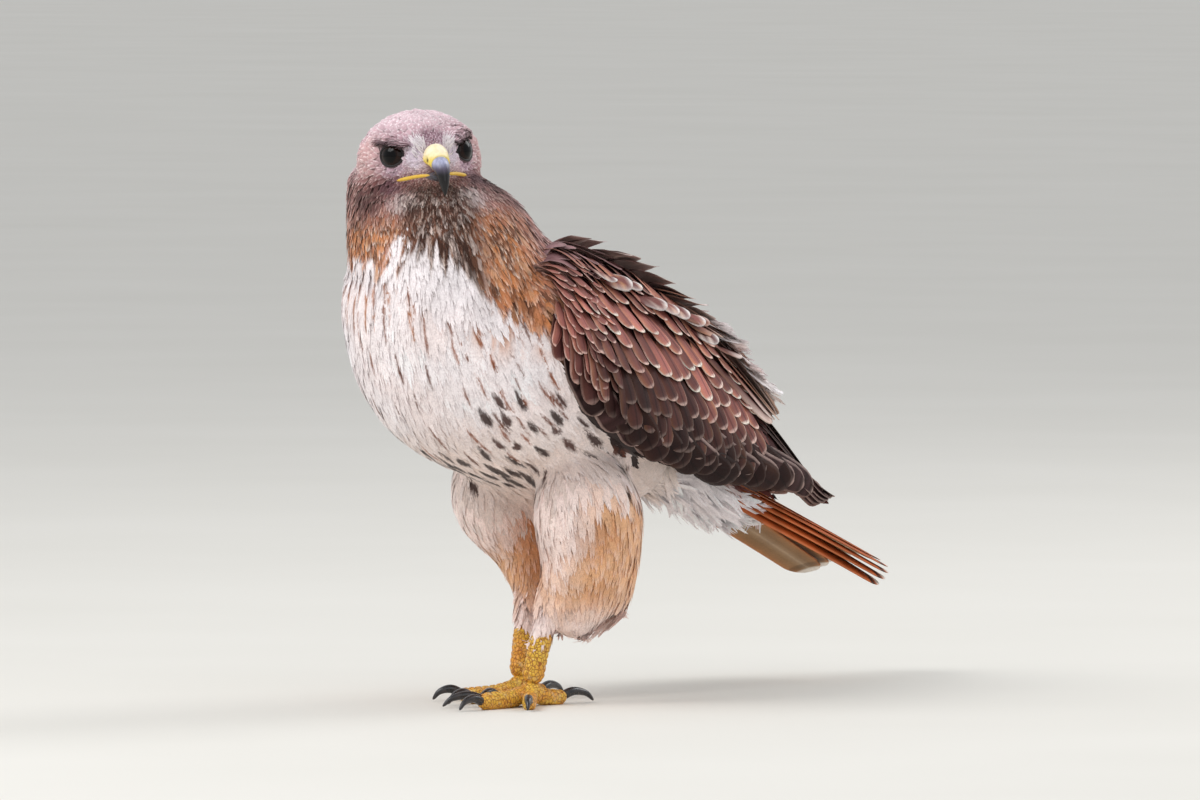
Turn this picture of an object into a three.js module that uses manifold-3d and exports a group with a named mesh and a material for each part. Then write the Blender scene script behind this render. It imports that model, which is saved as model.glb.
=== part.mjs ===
// An adult red-tailed hawk, life size, standing on level ground with its head turned to its left.
// Millimetres, +Z up. The body faces -Y and the bird's left is +X. Measures in the tables below are
// taken from a point on the ground between the feet, and the finished group is moved so that its
// origin lies on the ground under the middle of its bounding box.
import * as THREE from "three";
import { mergeVertices } from "three/addons/utils/BufferGeometryUtils.js";
import Module from "manifold-3d";

const wasm = await Module();
wasm.setup();

// Driving dimensions
const GAP = 0.3; // left between pieces that meet
const WELD = 1e-3; // vertices closer than this are one
const HEAD_CENTRE = [1.7, -90.4, 321];
const HEAD_TURN = 53; // degrees to the bird's left
const HEAD_ROLL = -4; // degrees, the bird's right side lower
const EYE_RADIUS = 10;
const EYE = { side: 17, ahead: 12.8, up: 4.8 }; // eyeball centre from the head's centre

const radians = THREE.MathUtils.degToRad;
const point = (x, y, z) => new THREE.Vector3(x, y, z);
const mix = THREE.MathUtils.lerp;

// The neck and torso are one form: x, y and z of its middle line, half its width, and its reach
// towards the back and towards the breast.
const BODY = [
  { x: -7, y: -88, z: 319, wide: 40, back: 30, breast: 26 },
  { x: -7, y: -87, z: 305, wide: 44.5, back: 37, breast: 36 },
  { x: -4, y: -84, z: 290, wide: 49, back: 46, breast: 45 },
  { y: -75, z: 268, wide: 58, back: 59, breast: 55 },
  { y: -62, z: 242, wide: 69, back: 67, breast: 66 },
  { y: -38, z: 212, wide: 75, back: 67, breast: 72 },
  { y: 0, z: 186, wide: 70, back: 66, breast: 62 },
  { y: 42, z: 163, wide: 58, back: 60, breast: 50 },
  { y: 82, z: 145, wide: 42, back: 44, breast: 36 },
  { y: 112, z: 132, wide: 28, back: 26, breast: 24 },
];
const NECK_CUT = { y: -76, z: 272, lean: 28 }; // where the neck ends, and how far that cut leans, in degrees

// The head from the nape to the bill's base: how far ahead of its centre, height, half width and reach.
const HEAD = [
  { ahead: -37, z: -5, wide: 18, above: 18, below: 22 },
  { ahead: -27, z: -2, wide: 30, above: 26.5, below: 28 },
  { ahead: -12, z: -1, wide: 37, above: 31, below: 32 },
  { ahead: 2, z: 0, wide: 35, above: 29.5, below: 33 },
  { ahead: 12, z: 1.5, wide: 28, above: 26.5, below: 32 },
  { ahead: 20, z: 2, wide: 21.5, above: 21.5, below: 28 },
  { ahead: 29, z: 2, wide: 14.5, above: 14.5, below: 20 },
  { ahead: 39, z: 1.5, wide: 9.5, above: 9.5, below: 13 },
];

// The rump and the coverts of the tail, which the tail feathers leave
const RUMP = [
  { y: 84, z: 144, wide: 20, above: 18, below: 20 },
  { y: 134, z: 133, wide: 24, above: 15, below: 15 },
  { y: 180, z: 114, wide: 22, above: 12, below: 11 },
  { y: 212, z: 101, wide: 17, above: 7, below: 5 },
];
// One side's tail feathers from the middle pair to the outermost: where the stem leaves the rump, where
// it ends, how far it rolls outwards at each, in degrees.
const RECTRICES = [
  { root: [2, 128, 150], tip: [4, 320, 74.5], roll: [2, 2] },
  { root: [5, 130, 147.5], tip: [12, 322, 72.3], roll: [12, 7] },
  { root: [8, 132, 144.5], tip: [19, 321, 69.8], roll: [22, 11] },
  { root: [11, 134, 141], tip: [22, 318, 67], roll: [30, 15] },
  { root: [13, 136, 137], tip: [23.5, 313, 64.2], roll: [38, 19] },
  { root: [15, 138, 132.5], tip: [24.5, 306, 61.7], roll: [45, 23] },
];
const TAIL_LEAN = 0.11; // how much lower each point lies for its distance to the bird's left
const RECTRIX = { half: 11.5, thick: 1.2, drop: 1.6 }; // drop: how far the right side lies below the left
// Coverts over and under the tail: root and tip, in pairs when x is not 0, and which face is outward.
const TAIL_COVERTS = [
  { root: [0, 120, 146], tip: [0, 196, 129], half: 14, face: 1 },
  { root: [0, 120, 122], tip: [0, 214, 92], half: 14, face: -1 },
  { root: [10, 112, 128], tip: [16, 200, 96], half: 12, face: -1 },
];

// The folded wing's upper and lower edges from the wrist to the tip, how far it stands out, and how much
// closer to the body the right one lies.
const WING = [
  { top: [58, -60, 258], low: [71, -78, 232], out: 13, in: 18, tuck: 8 },
  { top: [47, -38, 271], low: [79, -50, 192], out: 18, in: 22, tuck: 9 },
  { top: [24, 4, 270], low: [80, -10, 163], out: 22, in: 26, tuck: 7 },
  { top: [15, 66, 256], low: [71, 40, 143], out: 24, in: 26, tuck: 3 },
  { top: [14, 124, 229], low: [59, 98, 132], out: 18, in: 20 },
  { top: [14, 170, 197], low: [46, 160, 124], out: 11, in: 12 },
  { top: [14, 203, 163], low: [34, 212, 119], out: 7, in: 7 },
  { top: [15, 238, 128], low: [24, 246, 111], out: 4, in: 4 },
  { top: [16, 270, 109], low: [19, 271, 105], out: 2, in: 2 },
];
const WING_CORE = 0.93; // the share of the wing's length that is solid under the vanes
// Rows of vanes on the folded wing. Roots and tips of the first and last vane are given as the share of
// the way from wrist to tip and the share of the way from the upper edge to the lower one.
const WING_ROWS = [
  { name: "primaries", count: 3, root: [[0.66, 0.36], [0.72, 0.7]],
    tip: [[1, 0.3], [0.91, 0.84]], half: [9, 8], raise: 1.2 },
  { name: "secondaries", count: 5, root: [[0.16, 0.76], [0.56, 0.72]],
    tip: [[0.34, 0.9], [0.82, 0.82]], half: [10, 10], raise: 1.2 },
  { name: "greater coverts", count: 5, root: [[0.08, 0.56], [0.54, 0.5]],
    tip: [[0.18, 0.8], [0.69, 0.66]], half: [12, 12.5], raise: 2.2 },
  { name: "median coverts", count: 5, root: [[0.05, 0.36], [0.5, 0.34]],
    tip: [[0.13, 0.64], [0.62, 0.52]], half: [12, 12.5], raise: 2.6 },
  { name: "lower scapulars", count: 4, root: [[0.07, 0.16], [0.42, 0.18]],
    tip: [[0.18, 0.4], [0.56, 0.32]], half: [13, 13], raise: 3.2 },
  { name: "upper scapulars", count: 4, root: [[0.12, 0.03], [0.38, 0.04]],
    tip: [[0.28, 0.12], [0.56, 0.09]], half: [14, 14], raise: 7 },
  { name: "tertials", count: 2, root: [[0.5, 0.26], [0.46, 0.08]],
    tip: [[0.73, 0.34], [0.72, 0.1]], half: [13, 13], raise: 6 },
];
const VANE = { sink: -3.4, thick: 1.3, edge: 0.7, ridge: 0.9, roll: 6 };

// Each leg from the hip to the foot: left and right differ because the bird is in mid stride.
const LEGS = {
  left: { back: 0, tuck: 0, slim: 1, heel: [30, -3, 82], foot: [21, -15, 13], spread: 1 },
  right: { back: 37, tuck: 7, slim: 0.72, heel: [-30, 47, 82], foot: [-17, 19.5, 13], spread: 0.45 },
};
// The left thigh's feathers, from the hip down to their tips round the tarsus.
const TROUSERS = [
  { x: 38, y: 4, z: 156, wide: 26, rear: 34, front: 38 },
  { x: 46, y: 6, z: 120, wide: 29, rear: 37, front: 39 },
  { x: 42, y: 13, z: 94, wide: 26, rear: 39, front: 35 },
  { x: 36, y: 17, z: 73, wide: 20, rear: 40, front: 34 },
  { x: 32, y: 15, z: 58, wide: 15, rear: 36, front: 28 },
  { x: 29, y: 17, z: 41, wide: 9, rear: 21, front: 17 },
];
// Tiers of hanging locks round the thigh. Angles run from the outer side (0) to the rear (90) and back
// along the inner side (180) to the front (270).
const LOCKS = [
  { from: 112, half: 12, trail: 3, angles: [-30, 20, 70], tips: [72, 66, 68] },
  { from: 84, half: 11, trail: 5, angles: [-60, -15, 30, 72, 115], tips: [45, 43, 40, 36, 40] },
];
const LOCK = { sink: -3, raise: 2.2, ridge: 1, roll: 6 };
const TARSUS_RADIUS = 6;
const TARSUS_PLATES = 6;
const BALL = { radius: 7.2, height: 7.5 };
const PLATE = 0.8; // how far a scale's edge stands out
const TOES = [
  { name: "hallux", angle: 172, length: 27, claw: 27, radius: 5, scutes: 3 },
  { name: "inner", angle: -31, length: 33, claw: 26, radius: 5, scutes: 4 },
  { name: "middle", angle: 0, length: 47, claw: 22, radius: 5, scutes: 6 },
  { name: "outer", angle: 38, length: 38, claw: 18, radius: 4.6, scutes: 5 },
];

const COLOURS = {
  head: ["#8a6a5c", 0.9],
  neck: ["#9a6a4c", 0.9],
  torso: ["#efe4da", 0.9],
  wing: ["#4b3730", 0.85],
  tail: ["#b4562c", 0.8],
  thigh: ["#e3b48c", 0.9],
  tarsus: ["#e5b54a", 0.6],
  claw: ["#1d1a1c", 0.35],
  cere: ["#e2cf3f", 0.5],
  bill: ["#33333f", 0.35],
  eye: ["#1a0f0b", 0.1],
};

// Solids

// A geometry as a solid, turned right side out if it was built as a mirror image.
function solidOf(geometry) {
  const bare = geometry.clone();
  bare.deleteAttribute("normal");
  bare.deleteAttribute("uv");
  const merged = mergeVertices(bare, WELD);
  const corners = merged.index.array;
  const kept = [];
  for (let i = 0; i < corners.length; i += 3) {
    const [a, b, c] = corners.slice(i, i + 3);
    if (a !== b && b !== c && c !== a) kept.push(a, b, c);
  }
  const build = (triangles) =>
    new wasm.Manifold(
      new wasm.Mesh({
        numProp: 3,
        vertProperties: merged.attributes.position.array,
        triVerts: new Uint32Array(triangles),
      }),
    );
  const solid = build(kept);
  return solid.volume() > 0 ? solid : build(kept.reverse());
}

// The largest closed surface of a solid. Loose scraps and sealed hollows are dropped.
function largest(solid) {
  const bodies = solid.decompose().filter((body) => body.volume() > 0);
  return bodies.reduce((most, body) => (body.volume() > most.volume() ? body : most));
}

const union = (solids) => solids.reduce((sum, solid) => sum.add(solid));
const without = (solid, cutters) => cutters.reduce((rest, cutter) => rest.subtract(cutter), solid);

function geometryOf(solid) {
  const mesh = solid.getMesh();
  const geometry = new THREE.BufferGeometry();
  geometry.setAttribute("position", new THREE.BufferAttribute(mesh.vertProperties, 3));
  geometry.setIndex(new THREE.BufferAttribute(mesh.triVerts, 1));
  geometry.computeVertexNormals();
  return geometry;
}

// A sphere's grid of vertices, each moved to place(share along, angle around).
function closedSurface(around, along, place) {
  const geometry = new THREE.SphereGeometry(1, around, along);
  const position = geometry.attributes.position;
  let vertex = 0;
  for (let row = 0; row <= along; row++) {
    for (let column = 0; column <= around; column++) {
      const angle = ((column % around) / around) * 2 * Math.PI;
      const at = place(row / along, angle);
      position.setXYZ(vertex++, at.x, at.y, at.z);
    }
  }
  return geometry;
}

// A function that follows stations smoothly: share 0 to 1 gives the named numbers in between.
function follow(stations, names) {
  const curves = [];
  for (let i = 0; i < names.length; i += 3) {
    const rows = stations.map((s) => point(...[0, 1, 2].map((k) => s[names[i + k]] ?? 0)));
    curves.push(new THREE.CatmullRomCurve3(rows, false, "catmullrom", 0.5));
  }
  return (share) => {
    const found = {};
    curves.forEach((curve, row) => {
      const p = curve.getPoint(share).toArray();
      p.forEach((value, k) => (found[names[row * 3 + k]] = value));
    });
    return found;
  };
}

// How full a rounded end is at this share of the way, where blunt is the share that is rounded.
function roundedEnds(share, blunt) {
  const near = Math.min(share / blunt[0], (1 - share) / blunt[1], 1);
  return Math.sqrt(Math.max(0, 1 - (1 - near) ** 2));
}

// A body along stations { x, y, z, wide, above, below }. rise is roughly the way that above points.
// With plates, the rows come in pairs, and each pair's second row stands out on one face like a scale's edge.
function loft(stations, { rise, around, along, blunt, grow = 0, plates }) {
  const read = follow(stations, ["x", "y", "z", "wide", "above", "below"]);
  const middle = (share) => {
    const s = read(THREE.MathUtils.clamp(share, 0, 1));
    return point(s.x, s.y, s.z);
  };
  const rows = plates ? plates.count * 2 : along;
  const place = (row, angle) => {
    const order = Math.round(row * rows);
    const edge = plates && order % 2 === 1;
    const share = plates ? (order + (edge ? 0.6 : 0)) / rows : (1 - Math.cos(Math.PI * row)) / 2;
    const s = read(share);
    const travel = middle(share + 0.01).sub(middle(share - 0.01)).normalize();
    const up = rise.clone().addScaledVector(travel, -rise.dot(travel)).normalize();
    const side = up.clone().cross(travel);
    const full = roundedEnds(share, blunt);
    const upper = Math.sin(angle) > 0;
    const plate = edge && upper === plates.above ? plates.height : 0;
    const lift = (upper ? s.above : s.below) + grow + plate;
    return point(s.x, s.y, s.z)
      .addScaledVector(side, -Math.cos(angle) * (s.wide + grow) * full)
      .addScaledVector(up, Math.sin(angle) * lift * full);
  };
  return solidOf(closedSurface(around, rows, place));
}

// A thin closed sheet with the same grid of points on its two faces, three points across.
function sheet(steps, place) {
  const points = [];
  const faces = [];
  const index = (lower, row, column) => (lower * (steps + 1) + row) * 3 + column;
  for (const lower of [0, 1]) {
    for (let row = 0; row <= steps; row++) {
      for (let column = 0; column < 3; column++) {
        points.push(...place(row / steps, column - 1, lower).toArray());
      }
    }
  }
  const quad = (a, b, c, d) => faces.push(a, b, c, a, c, d);
  for (let row = 0; row < steps; row++) {
    for (let column = 0; column < 2; column++) {
      const corners = [[row, column], [row, column + 1], [row + 1, column + 1], [row + 1, column]];
      const [a, b, c, d] = corners.map(([r, k]) => index(0, r, k));
      const [e, f, g, h] = corners.map(([r, k]) => index(1, r, k));
      quad(a, b, c, d);
      faces.push(e, g, f, e, h, g);
    }
    quad(index(0, row, 0), index(0, row + 1, 0), index(1, row + 1, 0), index(1, row, 0));
    quad(index(0, row + 1, 2), index(0, row, 2), index(1, row, 2), index(1, row + 1, 2));
  }
  for (let column = 0; column < 2; column++) {
    quad(index(0, 0, column + 1), index(0, 0, column), index(1, 0, column), index(1, 0, column + 1));
    const next = column + 1;
    quad(index(0, steps, column), index(0, steps, next), index(1, steps, next), index(1, steps, column));
  }
  const geometry = new THREE.BufferGeometry();
  geometry.setAttribute("position", new THREE.Float32BufferAttribute(points, 3));
  geometry.setIndex(faces);
  return geometry;
}

// How wide a vane is at this share of its length: narrow at the root, with a rounded tip.
const vaneOutline = new THREE.SplineCurve([
  new THREE.Vector2(0, 0.55),
  new THREE.Vector2(0.42, 0.97),
  new THREE.Vector2(0.8, 0.88),
  new THREE.Vector2(1, 0.34),
]);

// A feather's vane along a stem, which gives at each share { at, out } and how far it is rolled.
function vane(stem, { half, steps = 3, thick = VANE.thick, edge = VANE.edge, ridge = VANE.ridge, roll = 0 }) {
  const place = (share, across, lower) => {
    const outline = vaneOutline.getPoint(share);
    const v = outline.x;
    const { at, out, turn = 0 } = stem(v);
    const ahead = stem(Math.min(v + 0.02, 1)).at.sub(stem(Math.max(v - 0.02, 0)).at).normalize();
    const side = out.clone().cross(ahead).normalize();
    const up = ahead.clone().cross(side).normalize();
    const tilt = radians(roll + turn);
    const width = across * half * outline.y;
    const depth = mix(thick, thick * 0.55, v) * (across === 0 ? 1 : edge);
    return at
      .clone()
      .addScaledVector(side, width * Math.cos(tilt))
      .addScaledVector(up, width * Math.sin(tilt) + (across === 0 ? ridge : 0) - lower * depth);
  };
  return solidOf(sheet(steps, place));
}

// Everything on one side of a plane through a point, as a large block.
function beyond(at, normal) {
  const size = 2000;
  const block = new THREE.BoxGeometry(size, size, size);
  const turn = new THREE.Quaternion().setFromUnitVectors(point(0, 0, 1), normal.clone().normalize());
  block.applyMatrix4(
    new THREE.Matrix4().compose(
      at.clone().addScaledVector(normal.clone().normalize(), size / 2),
      turn,
      point(1, 1, 1),
    ),
  );
  return solidOf(block);
}

const underGround = beyond(point(0, 0, 0), point(0, 0, -1));

// Neck and torso

const bodyStations = BODY.map(({ x = 0, y, z, wide, back, breast }) => {
  return { x, y, z, wide, above: back, below: breast };
});
const bodyForm = (grow) =>
  loft(bodyStations, { rise: point(0, 1, 0.9), around: 26, along: 22, blunt: [0.05, 0.1], grow });
const neckCutNormal = point(0, -Math.sin(radians(NECK_CUT.lean)), Math.cos(radians(NECK_CUT.lean)));
const neckCut = point(0, NECK_CUT.y, NECK_CUT.z);

// Head

const headFrame = new THREE.Group();
headFrame.position.set(...HEAD_CENTRE);
headFrame.rotation.set(0, radians(HEAD_ROLL), radians(HEAD_TURN), "ZXY");
headFrame.updateMatrix();

const headStations = HEAD.map(({ ahead, z, wide, above, below }) => {
  return { x: 0, y: -ahead, z, wide, above, below };
});
const headForm = (grow) =>
  loft(headStations, { rise: point(0, 0, 1), around: 22, along: 18, blunt: [0.3, 0.12], grow });
const inHead = (solid) => solid.transform(headFrame.matrix.toArray());

function eyeball(hand, radius) {
  const ball = new THREE.SphereGeometry(radius, 14, 10);
  ball.translate(hand * EYE.side, -EYE.ahead, EYE.up);
  return solidOf(ball);
}

function bill(stations, options) {
  return loft(
    stations.map((s) => ({ x: 0, y: -s.ahead, z: s.z, wide: s.wide, above: s.above, below: s.below })),
    { rise: point(0, 0, 1), around: 10, along: 8, ...options },
  );
}

// The ridge of feathers that overhangs each eye, and the yellow flange along the corner of the mouth
const BROW = [
  { side: 12, ahead: 28.5, z: 11.8, wide: 2.4, above: 2, below: 2 },
  { side: 19, ahead: 21, z: 14.4, wide: 3.4, above: 2.6, below: 2.4 },
  { side: 25, ahead: 11, z: 15.4, wide: 3.4, above: 2.6, below: 2.6 },
  { side: 28.5, ahead: 0, z: 15, wide: 2, above: 1.8, below: 2 },
];
const GAPE = [
  { side: 5.5, ahead: 43, z: -6.6, wide: 1.6, above: 1.4, below: 1.3 },
  { side: 11.5, ahead: 35, z: -7.2, wide: 1.7, above: 1.5, below: 1.4 },
  { side: 17, ahead: 27.5, z: -8.4, wide: 1.8, above: 1.5, below: 1.4 },
  { side: 20.6, ahead: 22, z: -9.3, wide: 1.6, above: 1.2, below: 1.2 },
];
// outward: degrees from straight ahead; low: the opening's height beside its width
const EYELID = { outward: 43, stand: 7.2, radius: 8, low: 0.86, thick: 1.2 };
const NOSTRIL = { side: 6.6, ahead: 42, z: 4.5, radius: 1.4 };
const CERE = [
  { ahead: 34, z: 3, wide: 7.2, above: 7.6, below: 5 },
  { ahead: 40, z: 2.5, wide: 7, above: 8.4, below: 4.8 },
  { ahead: 45, z: 1, wide: 6.2, above: 6.4, below: 4.4 },
  { ahead: 48.5, z: -0.3, wide: 5.4, above: 5, below: 4 },
];
const UPPER_BILL = [
  { ahead: 42, z: 0, wide: 5.2, above: 4.6, below: 5 },
  { ahead: 48.5, z: -0.8, wide: 5.1, above: 4.9, below: 5.2 },
  { ahead: 53, z: -4.2, wide: 4.3, above: 4.6, below: 5 },
  { ahead: 55.5, z: -10.8, wide: 2.9, above: 3.4, below: 3.2 },
  { ahead: 56, z: -18.7, wide: 1.1, above: 1.3, below: 1.3 },
];
const LOWER_BILL = [
  { ahead: 32, z: -7.2, wide: 6.6, above: 2.2, below: 3 },
  { ahead: 42, z: -7.6, wide: 4.8, above: 2, below: 3 },
  { ahead: 51, z: -9.2, wide: 3, above: 1.8, below: 2.4 },
];

function sideRidge(hand, stations, grow = 0) {
  return loft(
    stations.map((s) => ({ ...s, x: hand * s.side, y: -s.ahead })),
    { rise: point(0, 0, 1), around: 6, along: 7, blunt: [0.25, 0.25], grow },
  );
}

function eyelid(hand) {
  const ring = new THREE.TorusGeometry(EYELID.radius, EYELID.thick, 5, 14);
  ring.scale(1, EYELID.low, 1);
  ring.rotateX(Math.PI / 2);
  ring.translate(0, -EYELID.stand, 0);
  ring.rotateZ(hand * radians(EYELID.outward));
  ring.translate(hand * EYE.side, -EYE.ahead, EYE.up);
  return solidOf(ring);
}

function nostril(hand) {
  const hollow = new THREE.SphereGeometry(NOSTRIL.radius, 8, 6);
  hollow.scale(1, 1.4, 0.8);
  hollow.translate(hand * NOSTRIL.side, -NOSTRIL.ahead, NOSTRIL.z);
  return solidOf(hollow);
}

const both = (build) => [build(1), build(-1)];
const headSolid = union([
  headForm(0),
  ...both((hand) => sideRidge(hand, BROW)),
  ...both(eyelid),
]);
const eyes = { left: eyeball(1, EYE_RADIUS), right: eyeball(-1, EYE_RADIUS) };
const sockets = [eyeball(1, EYE_RADIUS + GAP), eyeball(-1, EYE_RADIUS + GAP)];

const gape = (grow) => both((hand) => sideRidge(hand, GAPE, grow));
const cereSolid = without(union([bill(CERE, { blunt: [0.05, 0.05] }), ...gape(0)]), both(nostril));
const cereGrown = union([bill(CERE, { blunt: [0.05, 0.05], grow: GAP }), ...gape(GAP)]);
const upperSolid = bill(UPPER_BILL, { blunt: [0.05, 0.2] });
const upperGrown = bill(UPPER_BILL, { blunt: [0.05, 0.2], grow: GAP });
const lowerSolid = bill(LOWER_BILL, { blunt: [0.05, 0.4] });
const lowerGrown = bill(LOWER_BILL, { blunt: [0.05, 0.4], grow: GAP });

const head = {
  head: without(headSolid, [...sockets, cereGrown, upperGrown, lowerGrown]),
  cere: without(cereSolid, [upperGrown]),
  bill_upper: upperSolid,
  bill_lower: without(lowerSolid, [upperGrown, cereGrown]),
  eye_left: eyes.left,
  eye_right: eyes.right,
};

const headInBody = inHead(union([headForm(GAP), cereGrown, upperGrown, lowerGrown]));
const torso = without(bodyForm(0), [beyond(neckCut, neckCutNormal)]);
const neck = without(bodyForm(0), [
  beyond(neckCut.clone().addScaledVector(neckCutNormal, GAP), neckCutNormal.clone().negate()),
  headInBody,
]);
const torsoGrown = bodyForm(GAP);

// Tail

const rump = loft(
  RUMP.map((s) => ({ x: 0, ...s })),
  { rise: point(0, 0, 1), around: 12, along: 9, blunt: [0.1, 0.2] },
);

function rectrix(hand, spec, order) {
  const down = hand > 0 ? 0 : RECTRIX.drop;
  const lean = hand * TAIL_LEAN;
  const root = point(hand * spec.root[0], spec.root[1], spec.root[2] - down - lean * spec.root[0]);
  const tip = point(hand * spec.tip[0], spec.tip[1], spec.tip[2] - down - lean * spec.tip[0]);
  const out = point(TAIL_LEAN, 0.35, 1).normalize();
  const stem = (v) => {
    const turn = hand * mix(spec.roll[0], spec.roll[1], v);
    return { at: root.clone().lerp(tip, v), out, turn };
  };
  return vane(stem, { half: RECTRIX.half, steps: 3, thick: RECTRIX.thick, ridge: 0.4 + 0.1 * order });
}

function tailCovert(hand, spec) {
  const root = point(hand * spec.root[0], spec.root[1], spec.root[2]);
  const tip = point(hand * spec.tip[0], spec.tip[1], spec.tip[2]);
  const out = point(hand * spec.root[0] * 0.03, 0.2, spec.face).normalize();
  const stem = (v) => ({ at: root.clone().lerp(tip, v), out });
  return vane(stem, { half: spec.half, ridge: 3 });
}

const tailVanes = [1, -1].flatMap((hand) => [
  ...RECTRICES.map((spec, order) => rectrix(hand, spec, order)),
  ...TAIL_COVERTS.filter((spec) => hand > 0 || spec.root[0] > 0).map((spec) => tailCovert(hand, spec)),
]);
const tail = without(union([rump, ...tailVanes]), [torsoGrown]);

// Wings

// The wing's surface: share of the way to the tip, share of the way from the upper edge over the outside
// to the lower one (and from 1 to 2 back over the inside), and how far to stand off it.
function wingSurface(hand) {
  const edge = (key) => WING.map((s) => {
    const [x, y, z] = s[key];
    return point(hand * (x - (hand < 0 ? (s.tuck ?? 0) : 0)), y, z);
  });
  const tops = new THREE.CatmullRomCurve3(edge("top"));
  const lows = new THREE.CatmullRomCurve3(edge("low"));
  const read = follow(WING, ["out", "in", "none"]);
  return (share, across, raise = 0, full = 1) => {
    const t = THREE.MathUtils.clamp(share, 0, 1);
    const top = tops.getPoint(t);
    const low = lows.getPoint(t);
    const travel = tops.getTangent(t).add(lows.getTangent(t)).normalize();
    const down = low.clone().sub(top);
    const half = down.length() / 2 + raise;
    down.normalize();
    const outward = down.clone().cross(travel).multiplyScalar(hand).normalize();
    const depth = read(t);
    const angle = Math.PI * across;
    const lift = (across <= 1 ? depth.out : depth.in) + raise;
    return top
      .lerp(low, 0.5)
      .addScaledVector(down, -Math.cos(angle) * half * full)
      .addScaledVector(outward, Math.sin(angle) * lift * full);
  };
}

function wingVane(hand, surface, row, order) {
  const part = order / (row.count - 1);
  const pick = ([first, last]) => first.map((value, i) => mix(value, last[i], part));
  const root = pick(row.root);
  const tip = pick(row.tip);
  const stem = (v) => {
    const share = mix(root[0], tip[0], v);
    const across = mix(root[1], tip[1], v);
    const raise = mix(VANE.sink, row.raise, v);
    const at = surface(share, across, raise);
    const out = surface(share, across, raise + 5).sub(at).normalize();
    return { at, out };
  };
  return vane(stem, { half: mix(row.half[0], row.half[1], part), roll: hand * VANE.roll });
}

function wing(hand) {
  const surface = wingSurface(hand);
  const core = closedSurface(10, 11, (row, angle) => {
    const share = (1 - Math.cos(Math.PI * row)) / 2;
    return surface(share * WING_CORE, angle / Math.PI, 0, roundedEnds(share, [0.08, 0.05]));
  });
  const vanes = WING_ROWS.flatMap((row) =>
    [...Array(row.count).keys()].map((order) => wingVane(hand, surface, row, order)),
  );
  return { core: solidOf(core), vanes };
}

// Legs

// The feathered thigh's stations, and the way that the right leg's stand further back.
function thighStations(hand, leg) {
  return TROUSERS.map((s) => {
    const high = THREE.MathUtils.smoothstep(s.z, 90, 156);
    const x = hand * (s.x - leg.tuck * (1 - high));
    const y = s.y + leg.back * mix(1, 0.3, high);
    return { x, y, z: s.z, wide: s.wide, above: s.rear, below: s.front * mix(leg.slim, 1, high) };
  });
}

const thighCore = (hand, leg, grow) =>
  loft(thighStations(hand, leg), { rise: point(0, 1, 0), around: 12, along: 9, blunt: [0.25, 0.2], grow });

// A lock of long feathers hanging down the thigh: it leaves the surface at one height and ends at another.
function lock(hand, leg, tier, order) {
  const read = follow(thighStations(hand, leg), ["x", "y", "z", "wide", "above", "below"]);
  const stations = thighStations(hand, leg);
  const shareAt = (z) => {
    const rung = stations.findIndex((s, i) => i + 1 === stations.length - 1 || stations[i + 1].z < z);
    const [from, to] = [stations[rung], stations[rung + 1]];
    return (rung + (from.z - z) / (from.z - to.z)) / (stations.length - 1);
  };
  const angle = radians(tier.angles[order]);
  const end = tier.tips[order];
  const stem = (v) => {
    const z = mix(tier.from, end, v);
    const s = read(THREE.MathUtils.clamp(shareAt(z), 0, 1));
    const out = point(hand * Math.cos(angle), Math.sin(angle), 0.1).normalize();
    const fore = Math.sin(angle) > 0 ? s.above : s.below;
    const stand = mix(LOCK.sink, LOCK.raise, v);
    const at = point(
      s.x + hand * Math.cos(angle) * (s.wide + stand),
      s.y + Math.sin(angle) * (fore + stand) + tier.trail * v * v,
      z,
    );
    return { at, out };
  };
  return vane(stem, { half: tier.half, ridge: LOCK.ridge, roll: hand * LOCK.roll });
}

function thigh(hand, leg) {
  const locks = LOCKS.flatMap((tier) => tier.angles.map((_, order) => lock(hand, leg, tier, order)));
  return union([thighCore(hand, leg, 0), ...locks]);
}

function tarsus(leg, grow) {
  const heel = point(...leg.heel);
  const foot = point(...leg.foot);
  const at = (share) => heel.clone().lerp(foot, share);
  const stations = [
    { ...at(0.1), wide: 8, above: 8, below: 8 },
    { ...at(0.45), wide: 7.2, above: 7.5, below: 7.5 },
    { ...at(0.7), wide: 6, above: 6.4, below: 6.4 },
    { ...at(1), wide: TARSUS_RADIUS, above: TARSUS_RADIUS, below: TARSUS_RADIUS },
  ];
  const plates = { count: TARSUS_PLATES, height: PLATE, above: false };
  return loft(stations, { rise: point(0, 1, 0), around: 10, blunt: [0.1, 0.1], grow, plates });
}

// The way that a toe points, turned from straight ahead towards the bird's outer side.
function toeWay(hand, leg, spec) {
  const turn = radians(spec.angle * (spec.angle < 0 ? leg.spread : 1)) * hand;
  return point(Math.sin(turn), -Math.cos(turn), 0);
}

function toe(hand, leg, spec, grow) {
  const way = toeWay(hand, leg, spec);
  const start = point(leg.foot[0], leg.foot[1], spec.radius + 3);
  const at = (share, z) => ({ ...start.clone().addScaledVector(way, spec.length * share), z });
  const r = spec.radius;
  const stations = [
    { ...at(0, r + 3.5), wide: r, above: r, below: r },
    { ...at(0.35, r + 0.2), wide: r * 0.9, above: r * 0.9, below: r },
    { ...at(0.7, r - 0.9), wide: r * 0.9, above: r * 0.85, below: r },
    { ...at(1, r - 1.2), wide: r * 0.8, above: r * 0.75, below: r * 0.8 },
  ];
  const plates = { count: spec.scutes, height: PLATE, above: true };
  return loft(stations, { rise: point(0, 0, 1), around: 8, blunt: [0.2, 0.2], grow, plates });
}

// The four toes, joined by the ball of the foot.
function foot(hand, leg, grow) {
  const ball = new THREE.SphereGeometry(BALL.radius + grow, 10, 7);
  ball.translate(leg.foot[0], leg.foot[1], BALL.height);
  return union([solidOf(ball), ...TOES.map((spec) => toe(hand, leg, spec, grow))]);
}

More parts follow.
